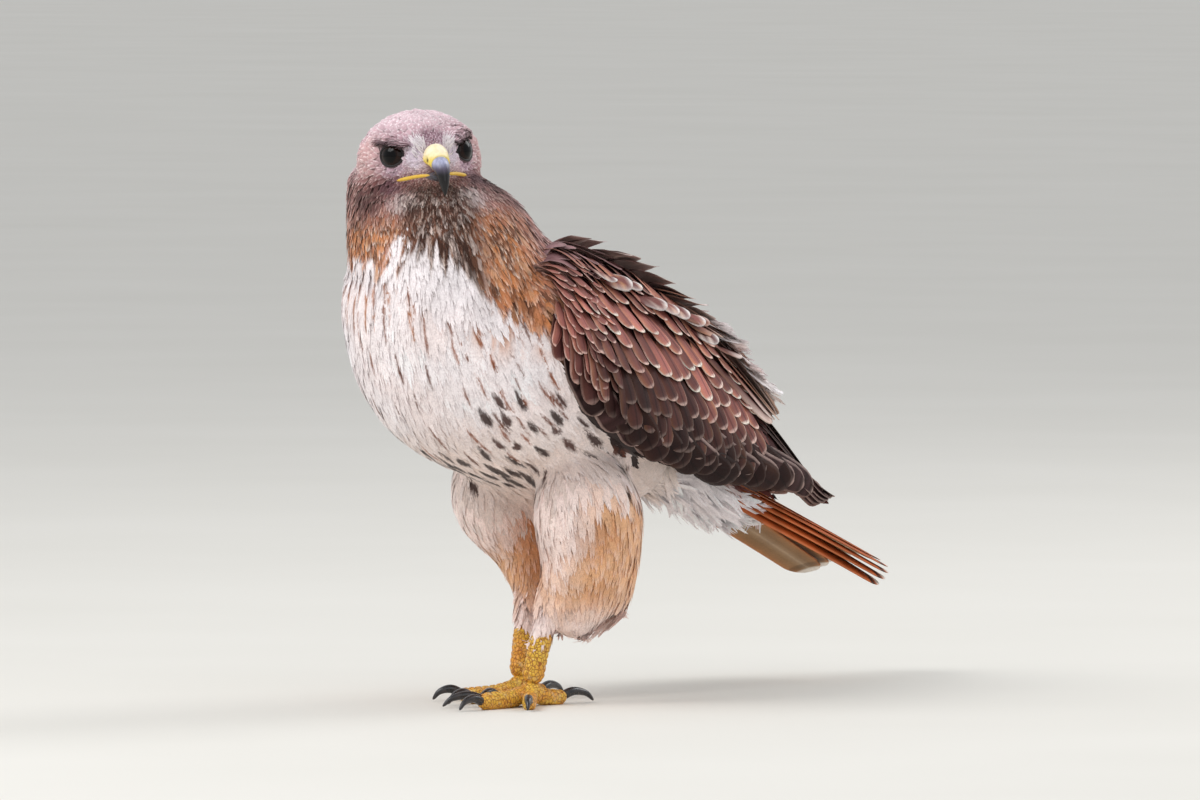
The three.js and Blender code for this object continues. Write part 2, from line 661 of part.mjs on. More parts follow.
function claw(hand, leg, spec) {
  const way = toeWay(hand, leg, spec);
  const start = point(leg.foot[0], leg.foot[1], 0).addScaledVector(way, spec.length - 3);
  const at = (share, z) => ({ ...start.clone().addScaledVector(way, spec.claw * share), z });
  const stations = [
    { ...at(0, 4.6), wide: 2.6, above: 2.8, below: 2.8 },
    { ...at(0.35, 7.2), wide: 2.5, above: 2.6, below: 2.6 },
    { ...at(0.72, 5.6), wide: 1.7, above: 1.8, below: 1.8 },
    { ...at(0.95, 1), wide: 0.7, above: 0.8, below: 0.8 },
  ];
  return loft(stations, { rise: point(0, 0, 1), around: 7, along: 7, blunt: [0.1, 0.1] });
}

// The nodes

const hawk = new THREE.Group();
hawk.name = "hawk";

function material(kind) {
  const [colour, roughness] = COLOURS[kind];
  return new THREE.MeshStandardMaterial({ color: colour, roughness, metalness: 0 });
}

function addNode(name, solid, kind, parent = hawk) {
  const mesh = new THREE.Mesh(geometryOf(largest(solid)), material(kind));
  mesh.name = name;
  parent.add(mesh);
  return mesh;
}

addNode("torso", torso, "torso");
addNode("neck", neck, "neck");
addNode("tail", tail, "tail");
hawk.add(headFrame);
addNode("head", head.head, "head", headFrame);
addNode("cere", head.cere, "cere", headFrame);
addNode("bill_upper", head.bill_upper, "bill", headFrame);
addNode("bill_lower", head.bill_lower, "bill", headFrame);
addNode("eye_left", head.eye_left, "eye", headFrame);
addNode("eye_right", head.eye_right, "eye", headFrame);

for (const [name, leg] of Object.entries(LEGS)) {
  const hand = name === "left" ? 1 : -1;
  const { core, vanes } = wing(hand);
  const wingSolid = without(union([core, ...vanes]), [torsoGrown, headInBody]);
  addNode(`wing_${name}`, wingSolid, "wing");
  const tarsusSolid = tarsus(leg, 0);
  const thighSolid = without(thigh(hand, leg), [torsoGrown, tarsus(leg, GAP), core]);
  addNode(`thigh_${name}`, thighSolid, "thigh");
  const toes = foot(hand, leg, 0);
  const toesGrown = foot(hand, leg, GAP);
  addNode(`tarsus_${name}`, without(tarsusSolid, [toesGrown, torsoGrown, underGround]), "tarsus");
  addNode(`foot_${name}`, without(toes, [underGround]), "tarsus");
  for (const spec of TOES) {
    const clawSolid = without(claw(hand, leg, spec), [toesGrown, underGround]);
    addNode(`claw_${name}_${spec.name}`, clawSolid, "claw");
  }
}

// The origin goes to the ground under the middle of the bounding box.
const box = new THREE.Box3().setFromObject(hawk, true);
const centre = box.getCenter(point(0, 0, 0));
hawk.position.set(-centre.x, -centre.y, -box.min.z);

export default hawk;
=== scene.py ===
"""A red-tailed hawk standing on level ground: skin, plumage, bill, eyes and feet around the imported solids."""
import math

import bmesh
import bpy
import numpy as np
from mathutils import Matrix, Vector
from mathutils.bvhtree import BVHTree
from mathutils.kdtree import KDTree


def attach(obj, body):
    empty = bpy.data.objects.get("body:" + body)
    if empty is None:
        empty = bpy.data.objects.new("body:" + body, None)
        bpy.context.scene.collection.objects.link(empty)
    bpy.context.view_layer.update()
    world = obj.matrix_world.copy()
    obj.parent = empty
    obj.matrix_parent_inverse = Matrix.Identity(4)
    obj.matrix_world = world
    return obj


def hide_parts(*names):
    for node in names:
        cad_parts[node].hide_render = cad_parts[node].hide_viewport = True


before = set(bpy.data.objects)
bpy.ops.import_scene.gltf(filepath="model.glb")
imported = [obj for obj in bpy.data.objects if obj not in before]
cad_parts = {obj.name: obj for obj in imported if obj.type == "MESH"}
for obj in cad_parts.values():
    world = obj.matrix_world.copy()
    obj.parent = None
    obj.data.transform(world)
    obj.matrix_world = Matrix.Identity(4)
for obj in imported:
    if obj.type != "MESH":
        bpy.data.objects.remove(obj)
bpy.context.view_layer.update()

# Measures are in millimetres from a point on the ground between the feet. The frame's origin lies here.
FRAME_ORIGIN = np.array([2.959, 97.76, 0.0])
MM = 0.001

# Camera: degrees round from straight ahead and up, the picture's scale, and where the ground point lies in it
AZIMUTH, ELEVATION = 39.7, 2.7
PIXELS_PER_MM = 1.7
PICTURE = (1200, 800)
GROUND_PIXEL = (520, 703)
LENS, SENSOR = 400.0, 36.0
CLIP_END = 100

HEAD_CENTRE = (1.7, -90.4, 321)
HEAD_TURN, HEAD_ROLL = 53.0, -4.0
# In the head's own axes
BILL_ROOT = (0, -40, -2)
EYE = (17.0, -12.8, 4.8)
EYE_RADIUS = 10.0

# x, y, z, half width, reach to the back, reach to the breast
BODY = [
    (-7, -88, 319, 40, 30, 26), (-7, -87, 305, 44.5, 37, 36), (-4, -84, 290, 49, 46, 45),
    (0, -75, 268, 58, 59, 55), (0, -62, 242, 69, 67, 66), (0, -38, 212, 75, 67, 72),
    (0, 0, 186, 70, 66, 62), (0, 42, 163, 58, 60, 50), (0, 82, 145, 42, 44, 36),
    (0, 112, 132, 28, 26, 24),
]
# The same in the head's axes, where the bill points to -y: x, y, z, half width, above, below
HEAD = [
    (0, 37, -5, 18, 18, 22), (0, 27, -2, 30, 26.5, 28), (0, 12, -1, 37, 31, 32),
    (0, -2, 0, 35, 29.5, 33), (0, -12, 1.5, 28, 26.5, 32), (0, -20, 2, 21.5, 21.5, 28),
    (0, -29, 2, 14.5, 14.5, 20), (0, -39, 1.5, 9.5, 9.5, 13),
]
BROW = [
    (12, -28.5, 11.8, 2.4, 2, 2), (19, -21, 14.4, 3.4, 2.6, 2.4), (25, -11, 15.4, 3.4, 2.6, 2.6),
    (28.5, 0, 15, 2, 1.8, 2),
]
GAPE = [
    (5.5, -43, -6.6, 1.3, 1, 1), (11.5, -35, -7.2, 1.3, 1.05, 1.05), (17, -27.5, -8.4, 1.4, 1.1, 1.1),
    (20.6, -22, -9.3, 1.2, 0.8, 0.8),
]
CERE = [
    (0, -34, 3, 7.2, 7.6, 5), (0, -40, 2.5, 7, 8.4, 4.8), (0, -45, 1, 6.2, 6.4, 4.4),
    (0, -48.5, -0.3, 5.4, 5, 4),
]
UPPER_BILL = [
    (0, -42, 0, 5.2, 4.6, 5), (0, -48.5, -0.8, 5.1, 4.9, 5.2), (0, -53, -4.2, 4.3, 4.6, 5),
    (0, -55.5, -10.8, 2.9, 3.4, 3.2), (0, -56, -18.7, 1.1, 1.3, 1.3),
]
LOWER_BILL = [(0, -32, -7.2, 6.6, 2.2, 3), (0, -42, -7.6, 4.8, 2, 3), (0, -51, -9.2, 3, 1.8, 2.4)]
# From here on in the body's axes again
RUMP = [
    (0, 84, 144, 20, 18, 20), (0, 134, 133, 24, 15, 15), (0, 180, 114, 22, 12, 11),
    (0, 212, 101, 17, 7, 5),
]
# One side's tail feathers from the middle pair outwards: root, tip, roll at each
RECTRICES = [
    ((2, 128, 150), (4, 320, 74.5), (2, 2)), ((5, 130, 147.5), (12, 322, 72.3), (12, 7)),
    ((8, 132, 144.5), (19, 321, 69.8), (22, 11)), ((11, 134, 141), (22, 318, 67), (30, 15)),
    ((13, 136, 137), (23.5, 313, 64.2), (38, 19)), ((15, 138, 132.5), (24.5, 306, 61.7), (45, 23)),
]
TAIL_LEAN, TAIL_DROP, RECTRIX_HALF = 0.11, 1.6, 11.5
# The folded wing's upper and lower edges from wrist to tip, and how far it stands out and in
WING = [
    ((58, -60, 258), (71, -78, 232), 13, 18), ((47, -38, 271), (79, -50, 192), 18, 22),
    ((24, 4, 270), (80, -10, 163), 22, 26), ((15, 66, 256), (71, 40, 143), 24, 26),
    ((14, 124, 229), (59, 98, 132), 18, 20), ((14, 170, 197), (46, 160, 124), 11, 12),
    ((14, 203, 163), (34, 212, 119), 7, 7), ((15, 238, 128), (24, 246, 111), 4, 4),
    ((16, 270, 109), (19, 271, 105), 2, 2),
]
# How much closer to the body the right wing lies at each
WING_TUCK = (8, 9, 7, 3, 0, 0, 0, 0, 0)
# How far back each leg stands, how much its lower part is tucked in and slimmed, how far its inner toe
# spreads, and the middles of its heel and foot
LEGS = {
    "left": {
        "hand": 1, "back": 0, "tuck": 0, "slim": 1, "spread": 1,
        "heel": (30, -3, 82), "foot": (21, -15, 13),
    },
    "right": {
        "hand": -1, "back": 37, "tuck": 7, "slim": 0.72, "spread": 0.45,
        "heel": (-30, 47, 82), "foot": (-17, 19.5, 13),
    },
}
# The thigh's stations: x, y, z, half width, reach to the rear and to the front
TROUSERS = [
    (38, 4, 156, 26, 34, 38), (46, 6, 120, 29, 37, 39), (42, 13, 94, 26, 39, 35), (36, 17, 73, 20, 40, 34),
    (32, 15, 58, 15, 36, 28), (29, 17, 41, 9, 21, 17),
]
# Toes: name, angle from straight ahead, length, claw length, radius, number of scutes
TOES = [
    ("hallux", 172, 27, 27, 5, 4), ("inner", -31, 33, 26, 5, 7), ("middle", 0, 47, 22, 5, 11),
    ("outer", 38, 38, 18, 4.6, 9),
]


# Vectors and numbers

DOWN = np.array([0, 0, -1.0])


def unit(v):
    return v / np.maximum(np.linalg.norm(v, axis=-1, keepdims=True), 1e-9)


def mix(a, b, share):
    return a + (b - a) * share


def ramp(x, low, high):
    t = np.clip((x - low) / (high - low), 0, 1)
    return t * t * (3 - 2 * t)


def bump(x, centre, width):
    return np.exp(-(((x - centre) / width) ** 2))


def dot(a, b):
    return (a * b).sum(-1, keepdims=True)


def rgb(colour):
    """A hex colour as linear light; colours that are linear already stay as they are."""
    if not isinstance(colour, str):
        return np.asarray(colour)
    c = np.array([int(colour[i:i + 2], 16) for i in (1, 3, 5)]) / 255
    return np.where(c <= 0.04045, c / 12.92, ((c + 0.055) / 1.055) ** 2.4)


def fill(colour, count):
    return np.tile(rgb(colour), (count, 1))


def paint(colours, colour, share):
    """Lays a colour, or a colour for each, over an array of colours by a share for each."""
    share = np.clip(np.asarray(share, float), 0, 1)[..., None]
    return colours + (rgb(colour) - colours) * share


def blend(colour, other, share):
    """A colour for each share between two."""
    return paint(fill(colour, len(share)), other, share)


def spline(rows, share):
    """A smooth curve through rows of numbers, read at shares 0 to 1."""
    rows = np.asarray(rows, float)
    padded = np.vstack([2 * rows[0] - rows[1], rows, 2 * rows[-1] - rows[-2]])
    at = np.clip(np.atleast_1d(share), 0, 1) * (len(rows) - 1)
    i = np.minimum(at.astype(int), len(rows) - 2)
    t = (at - i)[:, None]
    a, b, c, d = (padded[i + k] for k in range(4))
    return b + t * (c - a) / 2 + t**2 * (a - 2.5 * b + 2 * c - d / 2) + t**3 * (1.5 * (b - c) + (d - a) / 2)


def noise(p, size, seed):
    """Smooth noise from -1 to 1 over points, with features of about this size."""
    draw = np.random.default_rng(seed)
    total = 0
    for _ in range(5):
        way = unit(draw.normal(size=3)) / size * draw.uniform(2, 4)
        total = total + np.sin(p @ way + draw.uniform(0, 6.28) + 1.3 * np.sin(p @ np.roll(way, 1)))
    return total / 3.2


# Forms

# A form's least half width, and how many points are measured against it at a time
LEAST_REACH = 0.6
AT_A_TIME = 20000


def turns(count):
    """Angles all the way round."""
    return np.arange(count) / count * 2 * np.pi


class Form:
    """A rounded body along a middle line, with a half width and a reach up and down at each place."""

    def __init__(self, centres, side, up, wide, above, below, blunt):
        self.centres, self.side, self.up = centres, side, up
        self.reach = np.stack([wide, above, below], axis=1)
        share = np.linspace(0, 1, len(centres))
        near = np.clip(np.minimum(share / blunt[0], (1 - share) / blunt[1]), 0, 1)
        self.full = np.sqrt(1 - (1 - near) ** 2)
        self.travel = unit(np.gradient(centres, axis=0))

    def rows(self, share):
        at = np.clip(share, 0, 1) * (len(self.centres) - 1)
        i = np.minimum(at.astype(int), len(self.centres) - 2)
        t = (at - i)[..., None]
        values = (self.centres, self.side, self.up, self.reach, self.full[:, None])
        return tuple(mix(v[i], v[i + 1], t) for v in values)

    def at(self, share, angle, stand=0.0, ends=True):
        """Places this far over the surface, by share along and angle around."""
        centre, side, up, reach, full = self.rows(share)
        full = full[..., 0] if ends else 1.0
        lift = np.where(np.sin(angle) > 0, reach[..., 1], reach[..., 2])
        across = -np.cos(angle) * np.maximum(reach[..., 0] + stand, LEAST_REACH) * full
        rise = np.sin(angle) * np.maximum(lift + stand, LEAST_REACH) * full
        return centre + side * across[..., None] + up * rise[..., None]

    def mesh(self, around, along, stand=0.0):
        """Points and faces of the surface, raised by a number or by a function of the share along."""
        share = (1 - np.cos(np.pi * np.linspace(0, 1, along + 1))) / 2
        share, angle = np.meshgrid(share, turns(around), indexing="ij")
        grid = self.at(share, angle, stand(share) if callable(stand) else stand)
        return grid.reshape(-1, 3), grid_faces(along + 1, around, True)

    def coords(self, p):
        """Share along, angle around and height over the surface of points."""
        share = np.empty(len(p))
        for i in range(0, len(p), AT_A_TIME):
            gap = ((p[i:i + AT_A_TIME, None] - self.centres[None]) ** 2).sum(-1)
            share[i:i + AT_A_TIME] = gap.argmin(1) / (len(self.centres) - 1)
        centre, side, up, reach, _ = self.rows(share)
        off = p - centre
        across, rise = dot(off, side)[:, 0], dot(off, up)[:, 0]
        lift = np.where(rise > 0, reach[:, 1], reach[:, 2])
        angle = np.arctan2(rise / lift, -across / reach[:, 0])
        away = np.linalg.norm(off, axis=1)
        surface = np.hypot(np.cos(angle) * reach[:, 0], np.sin(angle) * lift)
        return share, angle, away - surface


def loft(stations, rise, blunt, dense=120):
    share = np.linspace(0, 1, dense + 1)
    rows = spline(stations, share)
    travel = unit(np.gradient(rows[:, :3], axis=0))
    rise = np.asarray(rise, float)
    up = unit(rise - travel * (travel @ rise)[:, None])
    return Form(rows[:, :3], np.cross(up, travel), up, rows[:, 3], rows[:, 4], rows[:, 5], blunt)


def wing_form(hand):
    share = np.linspace(0, 1, 161)
    tuck = np.array(WING_TUCK) * (hand < 0)
    top, low = (
        spline([(hand * (s[k][0] - t), *s[k][1:]) for s, t in zip(WING, tuck)], share) for k in (0, 1)
    )
    depth = spline([s[2:] for s in WING], share)
    travel = unit(np.gradient(top + low, axis=0))
    down = unit(low - top)
    out = unit(np.cross(down, travel)) * hand
    half = np.linalg.norm(low - top, axis=1) / 2
    return Form((top + low) / 2, down, out, half, depth[:, 0], depth[:, 1], (0.05, 0.03))


def thigh_form(leg):
    rows = []
    for x, y, z, wide, rear, front in TROUSERS:
        high = ramp(z, 90, 156)
        across = leg["hand"] * (x - leg["tuck"] * (1 - high))
        back = y + leg["back"] * mix(1, 0.3, high)
        rows.append((across, back, z, wide, rear, front * mix(leg["slim"], 1, high)))
    return loft(rows, (0, 1, 0), (0.25, 0.2))


def tarsus_rows(leg):
    heel, foot = np.array(leg["heel"], float), np.array(leg["foot"], float)
    sizes = [(0.1, 8, 8, 8), (0.45, 7.2, 7.5, 7.5), (0.7, 6, 6.4, 6.4), (1, 6.3, 6.5, 6.5)]
    return [(*mix(heel, foot, s), *size) for s, *size in sizes]


def head_turn():
    a, b = math.radians(HEAD_TURN), math.radians(HEAD_ROLL)
    about_z = np.array([[math.cos(a), -math.sin(a), 0], [math.sin(a), math.cos(a), 0], [0, 0, 1]])
    about_y = np.array([[math.cos(b), 0, math.sin(b)], [0, 1, 0], [-math.sin(b), 0, math.cos(b)]])
    return about_z @ about_y


HEAD_AXES = head_turn()


def from_head(p):
    return np.asarray(p, float) @ HEAD_AXES.T + HEAD_CENTRE


def to_head(p):
    return (p - HEAD_CENTRE) @ HEAD_AXES


def turned(form):
    """A form built in the head's axes, set in its place."""
    form.centres = from_head(form.centres)
    form.side, form.up, form.travel = (v @ HEAD_AXES.T for v in (form.side, form.up, form.travel))
    return form


def grid_faces(rows, columns, wrap=False):
    """The quads of a grid of points, closed from the last column to the first where it wraps round."""
    r, c = np.meshgrid(np.arange(rows - 1), np.arange(columns if wrap else columns - 1), indexing="ij")
    a, b = r * columns + c, r * columns + (c + 1) % columns
    return np.stack([a, b, b + columns, a + columns], axis=-1).reshape(-1, 4)


def mirrored(stations, hand):
    return [(hand * s[0], *s[1:]) for s in stations]


def joined(parts):
    """Several parts, each points and faces, as one."""
    starts = np.cumsum([0] + [len(p) for p, _ in parts[:-1]])
    return np.vstack([p for p, _ in parts]), np.vstack([f + start for (_, f), start in zip(parts, starts)])


# Pieces

MATERIALS = {}


def add_mesh(name, points, faces, smooth=True):
    """A mesh object from points in millimetres and an array of triangles or quads."""
    mesh = bpy.data.meshes.new(name)
    points = (np.asarray(points, float) - FRAME_ORIGIN) * MM
    faces = np.asarray(faces, dtype=np.int32)
    mesh.vertices.add(len(points))
    mesh.vertices.foreach_set("co", points.astype(np.float32).ravel())
    mesh.loops.add(faces.size)
    mesh.loops.foreach_set("vertex_index", faces.ravel())
    mesh.polygons.add(len(faces))
    mesh.polygons.foreach_set("loop_start", np.arange(len(faces), dtype=np.int32) * faces.shape[1])
    mesh.polygons.foreach_set("use_smooth", np.full(len(faces), smooth))
    mesh.update(calc_edges=True)
    obj = bpy.data.objects.new(name, mesh)
    bpy.context.scene.collection.objects.link(obj)
    return obj


def set_uv(obj, name, coords):
    layer = obj.data.uv_layers.new(name=name)
    corners = np.empty(len(obj.data.loops), dtype=np.int32)
    obj.data.loops.foreach_get("vertex_index", corners)
    layer.data.foreach_set("uv", np.asarray(coords, np.float32)[corners].ravel())


def set_tint(obj, colours, name="tint"):
    layer = obj.data.color_attributes.new(name=name, type="FLOAT_COLOR", domain="POINT")
    full = np.ones((len(colours), 4), np.float32)
    full[:, :3] = np.clip(colours, 0, 1)
    layer.data.foreach_set("color", full.ravel())


def piece(obj, material, slot, *nodes):
    """Gives a finished piece its material and sets it under the root, hiding the nodes that it replaces."""
    obj.data.materials.append(MATERIALS[material])
    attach(obj, "root")
    if nodes:
        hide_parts(*nodes)


# Materials

class Shader:
    """A node material built from short calls."""

    def __init__(self, name, roughness, **fixed):
        self.material = bpy.data.materials.new(name)
        self.material.use_nodes = True
        self.tree = self.material.node_tree
        self.bsdf = self.tree.nodes["Principled BSDF"]
        self.bsdf.inputs["Roughness"].default_value = roughness
        for key, value in fixed.items():
            self.bsdf.inputs[key.replace("_", " ")].default_value = value
        MATERIALS[name] = self.material

    def node(self, kind, inputs=None, **settings):
        made = self.tree.nodes.new("ShaderNode" + kind)
        for key, value in settings.items():
            setattr(made, key, value)
        for key, value in (inputs or {}).items():
            if isinstance(value, bpy.types.NodeSocket):
                self.tree.links.new(value, made.inputs[key])
            else:
                made.inputs[key].default_value = value
        return made

    def math(self, operation, a, b=0.0):
        return self.node("Math", {0: a, 1: b}, operation=operation).outputs[0]

    def mix(self, share, a, b, blend="MIX"):
        return self.node("MixRGB", {0: share, 1: a, 2: b}, blend_type=blend).outputs[0]

    def spread(self, value, low, high, to_low=0.0, to_high=1.0):
        inputs = {"Value": value, "From Min": low, "From Max": high, "To Min": to_low, "To Max": to_high}
        return self.node("MapRange", inputs, interpolation_type="SMOOTHSTEP").outputs[0]

    def place(self, scale=(1, 1, 1)):
        where = self.node("TexCoord").outputs["Object"]
        return self.node("Mapping", {"Vector": where, "Scale": scale}).outputs[0]

    def grain(self, scale, detail=3.0, stretch=(1, 1, 1)):
        inputs = {"Vector": self.place(stretch), "Scale": scale, "Detail": detail}
        return self.node("TexNoise", inputs).outputs[0]

    def tint(self):
        return self.node("VertexColor", layer_name="tint").outputs[0]

    def grey(self, value):
        return self.node("CombineXYZ", {0: value, 1: value, 2: value}).outputs[0]

    def colour(self, socket):
        self.tree.links.new(socket, self.bsdf.inputs["Base Color"])

    def stained_tint(self, share, code):
        """The tint of each point, darkened by a stain's colour where it shows."""
        self.colour(self.mix(share, self.tint(), colour4(code), "MULTIPLY"))

    def roughness(self, socket):
        self.tree.links.new(socket, self.bsdf.inputs["Roughness"])

    def relief(self, height, strength, distance):
        made = self.node("Bump", {"Height": height, "Strength": strength, "Distance": distance})
        self.tree.links.new(made.outputs[0], self.bsdf.inputs["Normal"])


def colour4(code):
    return (*rgb(code), 1)


def plumage(name, roughness, barbs, contrast, sheen, specular):
    """Feathers: the tint of each point, with fine barbs that leave the shaft slantwise."""
    s = Shader(name, roughness, Sheen_Weight=sheen, Sheen_Roughness=0.5, Specular_IOR_Level=specular)
    place = s.node("UVMap", uv_map="vane").outputs[0]
    parts = s.node("SeparateXYZ", {0: place}).outputs
    aside = s.math("ABSOLUTE", s.math("SUBTRACT", parts[0], 0.5))
    along = s.math("SUBTRACT", parts[1], s.math("MULTIPLY", aside, 0.9))
    stripes = s.math("SINE", s.math("MULTIPLY", along, barbs))
    uneven = s.grain(900.0, 2.0)
    worn = s.spread(s.grain(60.0, 4.0), 0.3, 0.7, 1 - contrast, 1 + contrast * 0.6)
    fine = s.math("ADD", s.math("MULTIPLY", stripes, contrast * 0.35), worn)
    speck = s.math("MULTIPLY", s.spread(uneven, 0.25, 0.75, 0.9, 1.1), fine)
    s.colour(s.mix(1.0, s.tint(), s.grey(speck), "MULTIPLY"))
    s.roughness(s.spread(uneven, 0.2, 0.8, roughness - 0.08, roughness + 0.08))
    s.relief(s.math("ADD", stripes, s.math("MULTIPLY", uneven, 1.5)), min(0.25, 2 * contrast), 0.0003)


# Feathers: roughness, barbs along a feather, contrast, sheen, specular level
PLUMAGES = {
    "crown": (0.75, 60.0, 0.12, 0.12, 0.2), "neck": (0.72, 60.0, 0.12, 0.12, 0.2),
    "breast": (0.7, 60.0, 0.04, 0.15, 0.2), "leg": (0.75, 60.0, 0.08, 0.15, 0.2),
    "wing": (0.6, 130.0, 0.16, 0.0, 0.12), "tail": (0.55, 420.0, 0.12, 0.0, 0.12),
}


def make_materials():
    for name, values in PLUMAGES.items():
        plumage(name, *values)

    s = Shader("skin", 0.8)
    s.stained_tint(s.spread(s.grain(300.0), 0.3, 0.7, 0.0, 0.35), "#6b5850")
    s.relief(s.grain(1200.0), 0.4, 0.0005)

    s = Shader("scales", 0.45, Specular_IOR_Level=0.4, Subsurface_Weight=0.08, Subsurface_Scale=0.002)
    cells = s.node("TexVoronoi", {"Vector": s.place((1, 1, 0.8)), "Scale": 480.0}, feature="DISTANCE_TO_EDGE")
    seam = s.spread(cells.outputs[0], 0.0, 0.12)
    warm = s.spread(s.grain(70.0, 4.0), 0.35, 0.65)
    skin = s.mix(warm, colour4("#e8a23c"), colour4("#e9bd48"))
    skin = s.mix(seam, colour4("#a8672e"), skin)
    dust = s.spread(s.grain(220.0, 5.0), 0.55, 0.75, 0.0, 0.5)
    s.colour(s.mix(dust, skin, colour4("#e9d3a4")))
    s.roughness(s.spread(seam, 0.0, 1.0, 0.65, 0.42))
    s.relief(seam, 0.7, 0.0006)

    s = Shader("cere", 0.38, Specular_IOR_Level=0.45, Subsurface_Weight=0.1, Subsurface_Scale=0.002)
    s.stained_tint(s.spread(s.grain(350.0, 4.0), 0.3, 0.7, 0.0, 0.35), "#e3c98a")
    s.relief(s.grain(900.0, 4.0), 0.35, 0.0003)

    s = Shader("bill", 0.32, Coat_Weight=0.12, Coat_Roughness=0.25, Specular_IOR_Level=0.35)
    growth = s.grain(500.0, 4.0, (1, 1, 0.15))
    s.stained_tint(s.spread(growth, 0.3, 0.7, 0.0, 0.5), "#8d8f9c")
    s.roughness(s.spread(growth, 0.3, 0.7, 0.24, 0.42))
    s.relief(growth, 0.15, 0.0002)

    s = Shader("claw", 0.28, Coat_Weight=0.3, Coat_Roughness=0.2)
    growth = s.grain(260.0, 4.0)
    s.colour(s.mix(s.spread(growth, 0.35, 0.7), colour4("#131114"), colour4("#332c2c")))
    s.roughness(s.spread(growth, 0.3, 0.7, 0.22, 0.4))
    s.relief(s.grain(700.0, 3.0), 0.12, 0.0002)

    s = Shader("eye", 0.05, Coat_Weight=0.16, Coat_Roughness=0.02, Specular_IOR_Level=0.1)
    fibres = s.spread(s.grain(1800.0, 4.0), 0.3, 0.75, 0.4, 1.4)
    s.colour(s.mix(1.0, s.tint(), s.grey(fibres), "MULTIPLY"))

    s = Shader("lid", 0.5, Specular_IOR_Level=0.4)
    s.stained_tint(s.spread(s.grain(1500.0, 3.0), 0.35, 0.7, 0.0, 0.4), "#6d625c")
    s.relief(s.grain(1800.0, 3.0), 0.4, 0.0003)

    s = Shader("floor", 0.85)
    s.colour(s.mix(s.grain(3.0, 2.0), colour4("#dedbd3"), colour4("#e6e3dc")))


# Skin

def build_forms():
    forms = {"body": loft(BODY, (0, 1, 0.9), (0.05, 0.1)), "rump": loft(RUMP, (0, 0, 1), (0.1, 0.2))}
    forms["head"] = turned(loft(HEAD, (0, 0, 1), (0.3, 0.12)))
    for name, leg in LEGS.items():
        forms["wing_" + name] = wing_form(leg["hand"])
        forms["thigh_" + name] = thigh_form(leg)
        forms["tarsus_" + name] = loft(tarsus_rows(leg), (0, 1, 0), (0.1, 0.1))
    return forms


def kind_of(name):
    return name.split("_")[0]


# How deep the coat is over the skin, and at a thigh's upper and lower end
COAT_DEPTHS = {"body": 2.6, "rump": 3.5, "head": 2.0, "wing": 3.0, "tarsus": 1.6}
THIGH_DEPTHS = (3.4, 2.8)


def coat_depth(name, share):
    """The coat's depth at each share of a form's length."""
    kind = kind_of(name)
    return mix(*THIGH_DEPTHS, ramp(share, 0.6, 1.0)) if kind == "thigh" else COAT_DEPTHS[kind]


FORMS = build_forms()
FORM_NAMES = list(FORMS)
FORM_KINDS = np.array([kind_of(name) for name in FORM_NAMES])


def eye_axis(hand):
    """The way that an eye looks, in the head's axes."""
    outward = math.radians(43)
    return unit(np.array([hand * math.sin(outward), -math.cos(outward), 0.06]))


# The skin's grain, how often it is smoothed, and how deep it lies at the brows
VOXEL, SMOOTHINGS = 2.1, 8
BROW_DEPTH = 0.5


def build_skin():
    """All forms in one smooth surface, as points and quads."""
    solids = [form.mesh(48, 60, lambda s, name=name: -coat_depth(name, s)) for name, form in FORMS.items()]
    for hand in (1, -1):
        brow = turned(loft(mirrored(BROW, hand), (0, 0, 1), (0.25, 0.25)))
        solids.append(brow.mesh(12, 16, -BROW_DEPTH))
    rough = add_mesh("rough", *joined(solids))
    remesh = rough.modifiers.new("remesh", "REMESH")
    remesh.mode, remesh.voxel_size = "VOXEL", VOXEL * MM
    smooth = rough.modifiers.new("smooth", "SMOOTH")
    smooth.factor, smooth.iterations = 0.5, SMOOTHINGS
    ready = rough.evaluated_get(bpy.context.evaluated_depsgraph_get())
    mesh = bpy.data.meshes.new_from_object(ready)
    p = np.empty(len(mesh.vertices) * 3)
    mesh.vertices.foreach_get("co", p)
    p = p.reshape(-1, 3) / MM + FRAME_ORIGIN
    quads = np.empty(len(mesh.loops), dtype=np.int32)
    mesh.loops.foreach_get("vertex_index", quads)
    bpy.data.objects.remove(rough)
    bpy.data.meshes.remove(mesh)
    quads = quads.reshape(-1, 4)
    return shape_sockets(fill_creases(p, quads)), quads


def fill_creases(p, quads):
    """Rounds the folds where the thighs leave the body, which the feathers hide."""
    heights = {name: FORMS[name].coords(p)[2] for name in ("body", "rump", "thigh_left", "thigh_right")}
    trunk = np.minimum(heights["body"], heights["rump"])
    leg = np.minimum(heights["thigh_left"], heights["thigh_right"])
    fold = np.exp(-((np.maximum(trunk, leg) + 4) / 9) ** 2) * ramp(p[:, 2], 88, 110)
    return mix(p, diffuse(p, quads, 90), fold[:, None])


# The opening of the lids as an angle at the eye's centre, and how much wider and lower than round it is
OPENING = math.radians(41)
OPENING_WIDE, OPENING_HIGH = 1.2, 0.8
# How far the skin lies behind the eyeball's surface inside the lids, and over it round them
SOCKET_DEPTH, SOCKET_RIM = 2.5, 0.6


def eye_centre(hand):
    return np.array([hand * EYE[0], EYE[1], EYE[2]])


def eye_polar(p, hand):
    """The way and distance from an eye's centre, and the angle from its look as a wide opening has it."""
    off = to_head(p) - eye_centre(hand)
    axis = eye_axis(hand)
    level = unit(np.cross(axis, (0, 0, 1)))
    ahead = off @ axis
    aside = np.hypot(off @ level / OPENING_WIDE, off @ np.cross(level, axis) / OPENING_HIGH)
    return off, np.linalg.norm(off, axis=1), np.arctan2(aside, ahead)


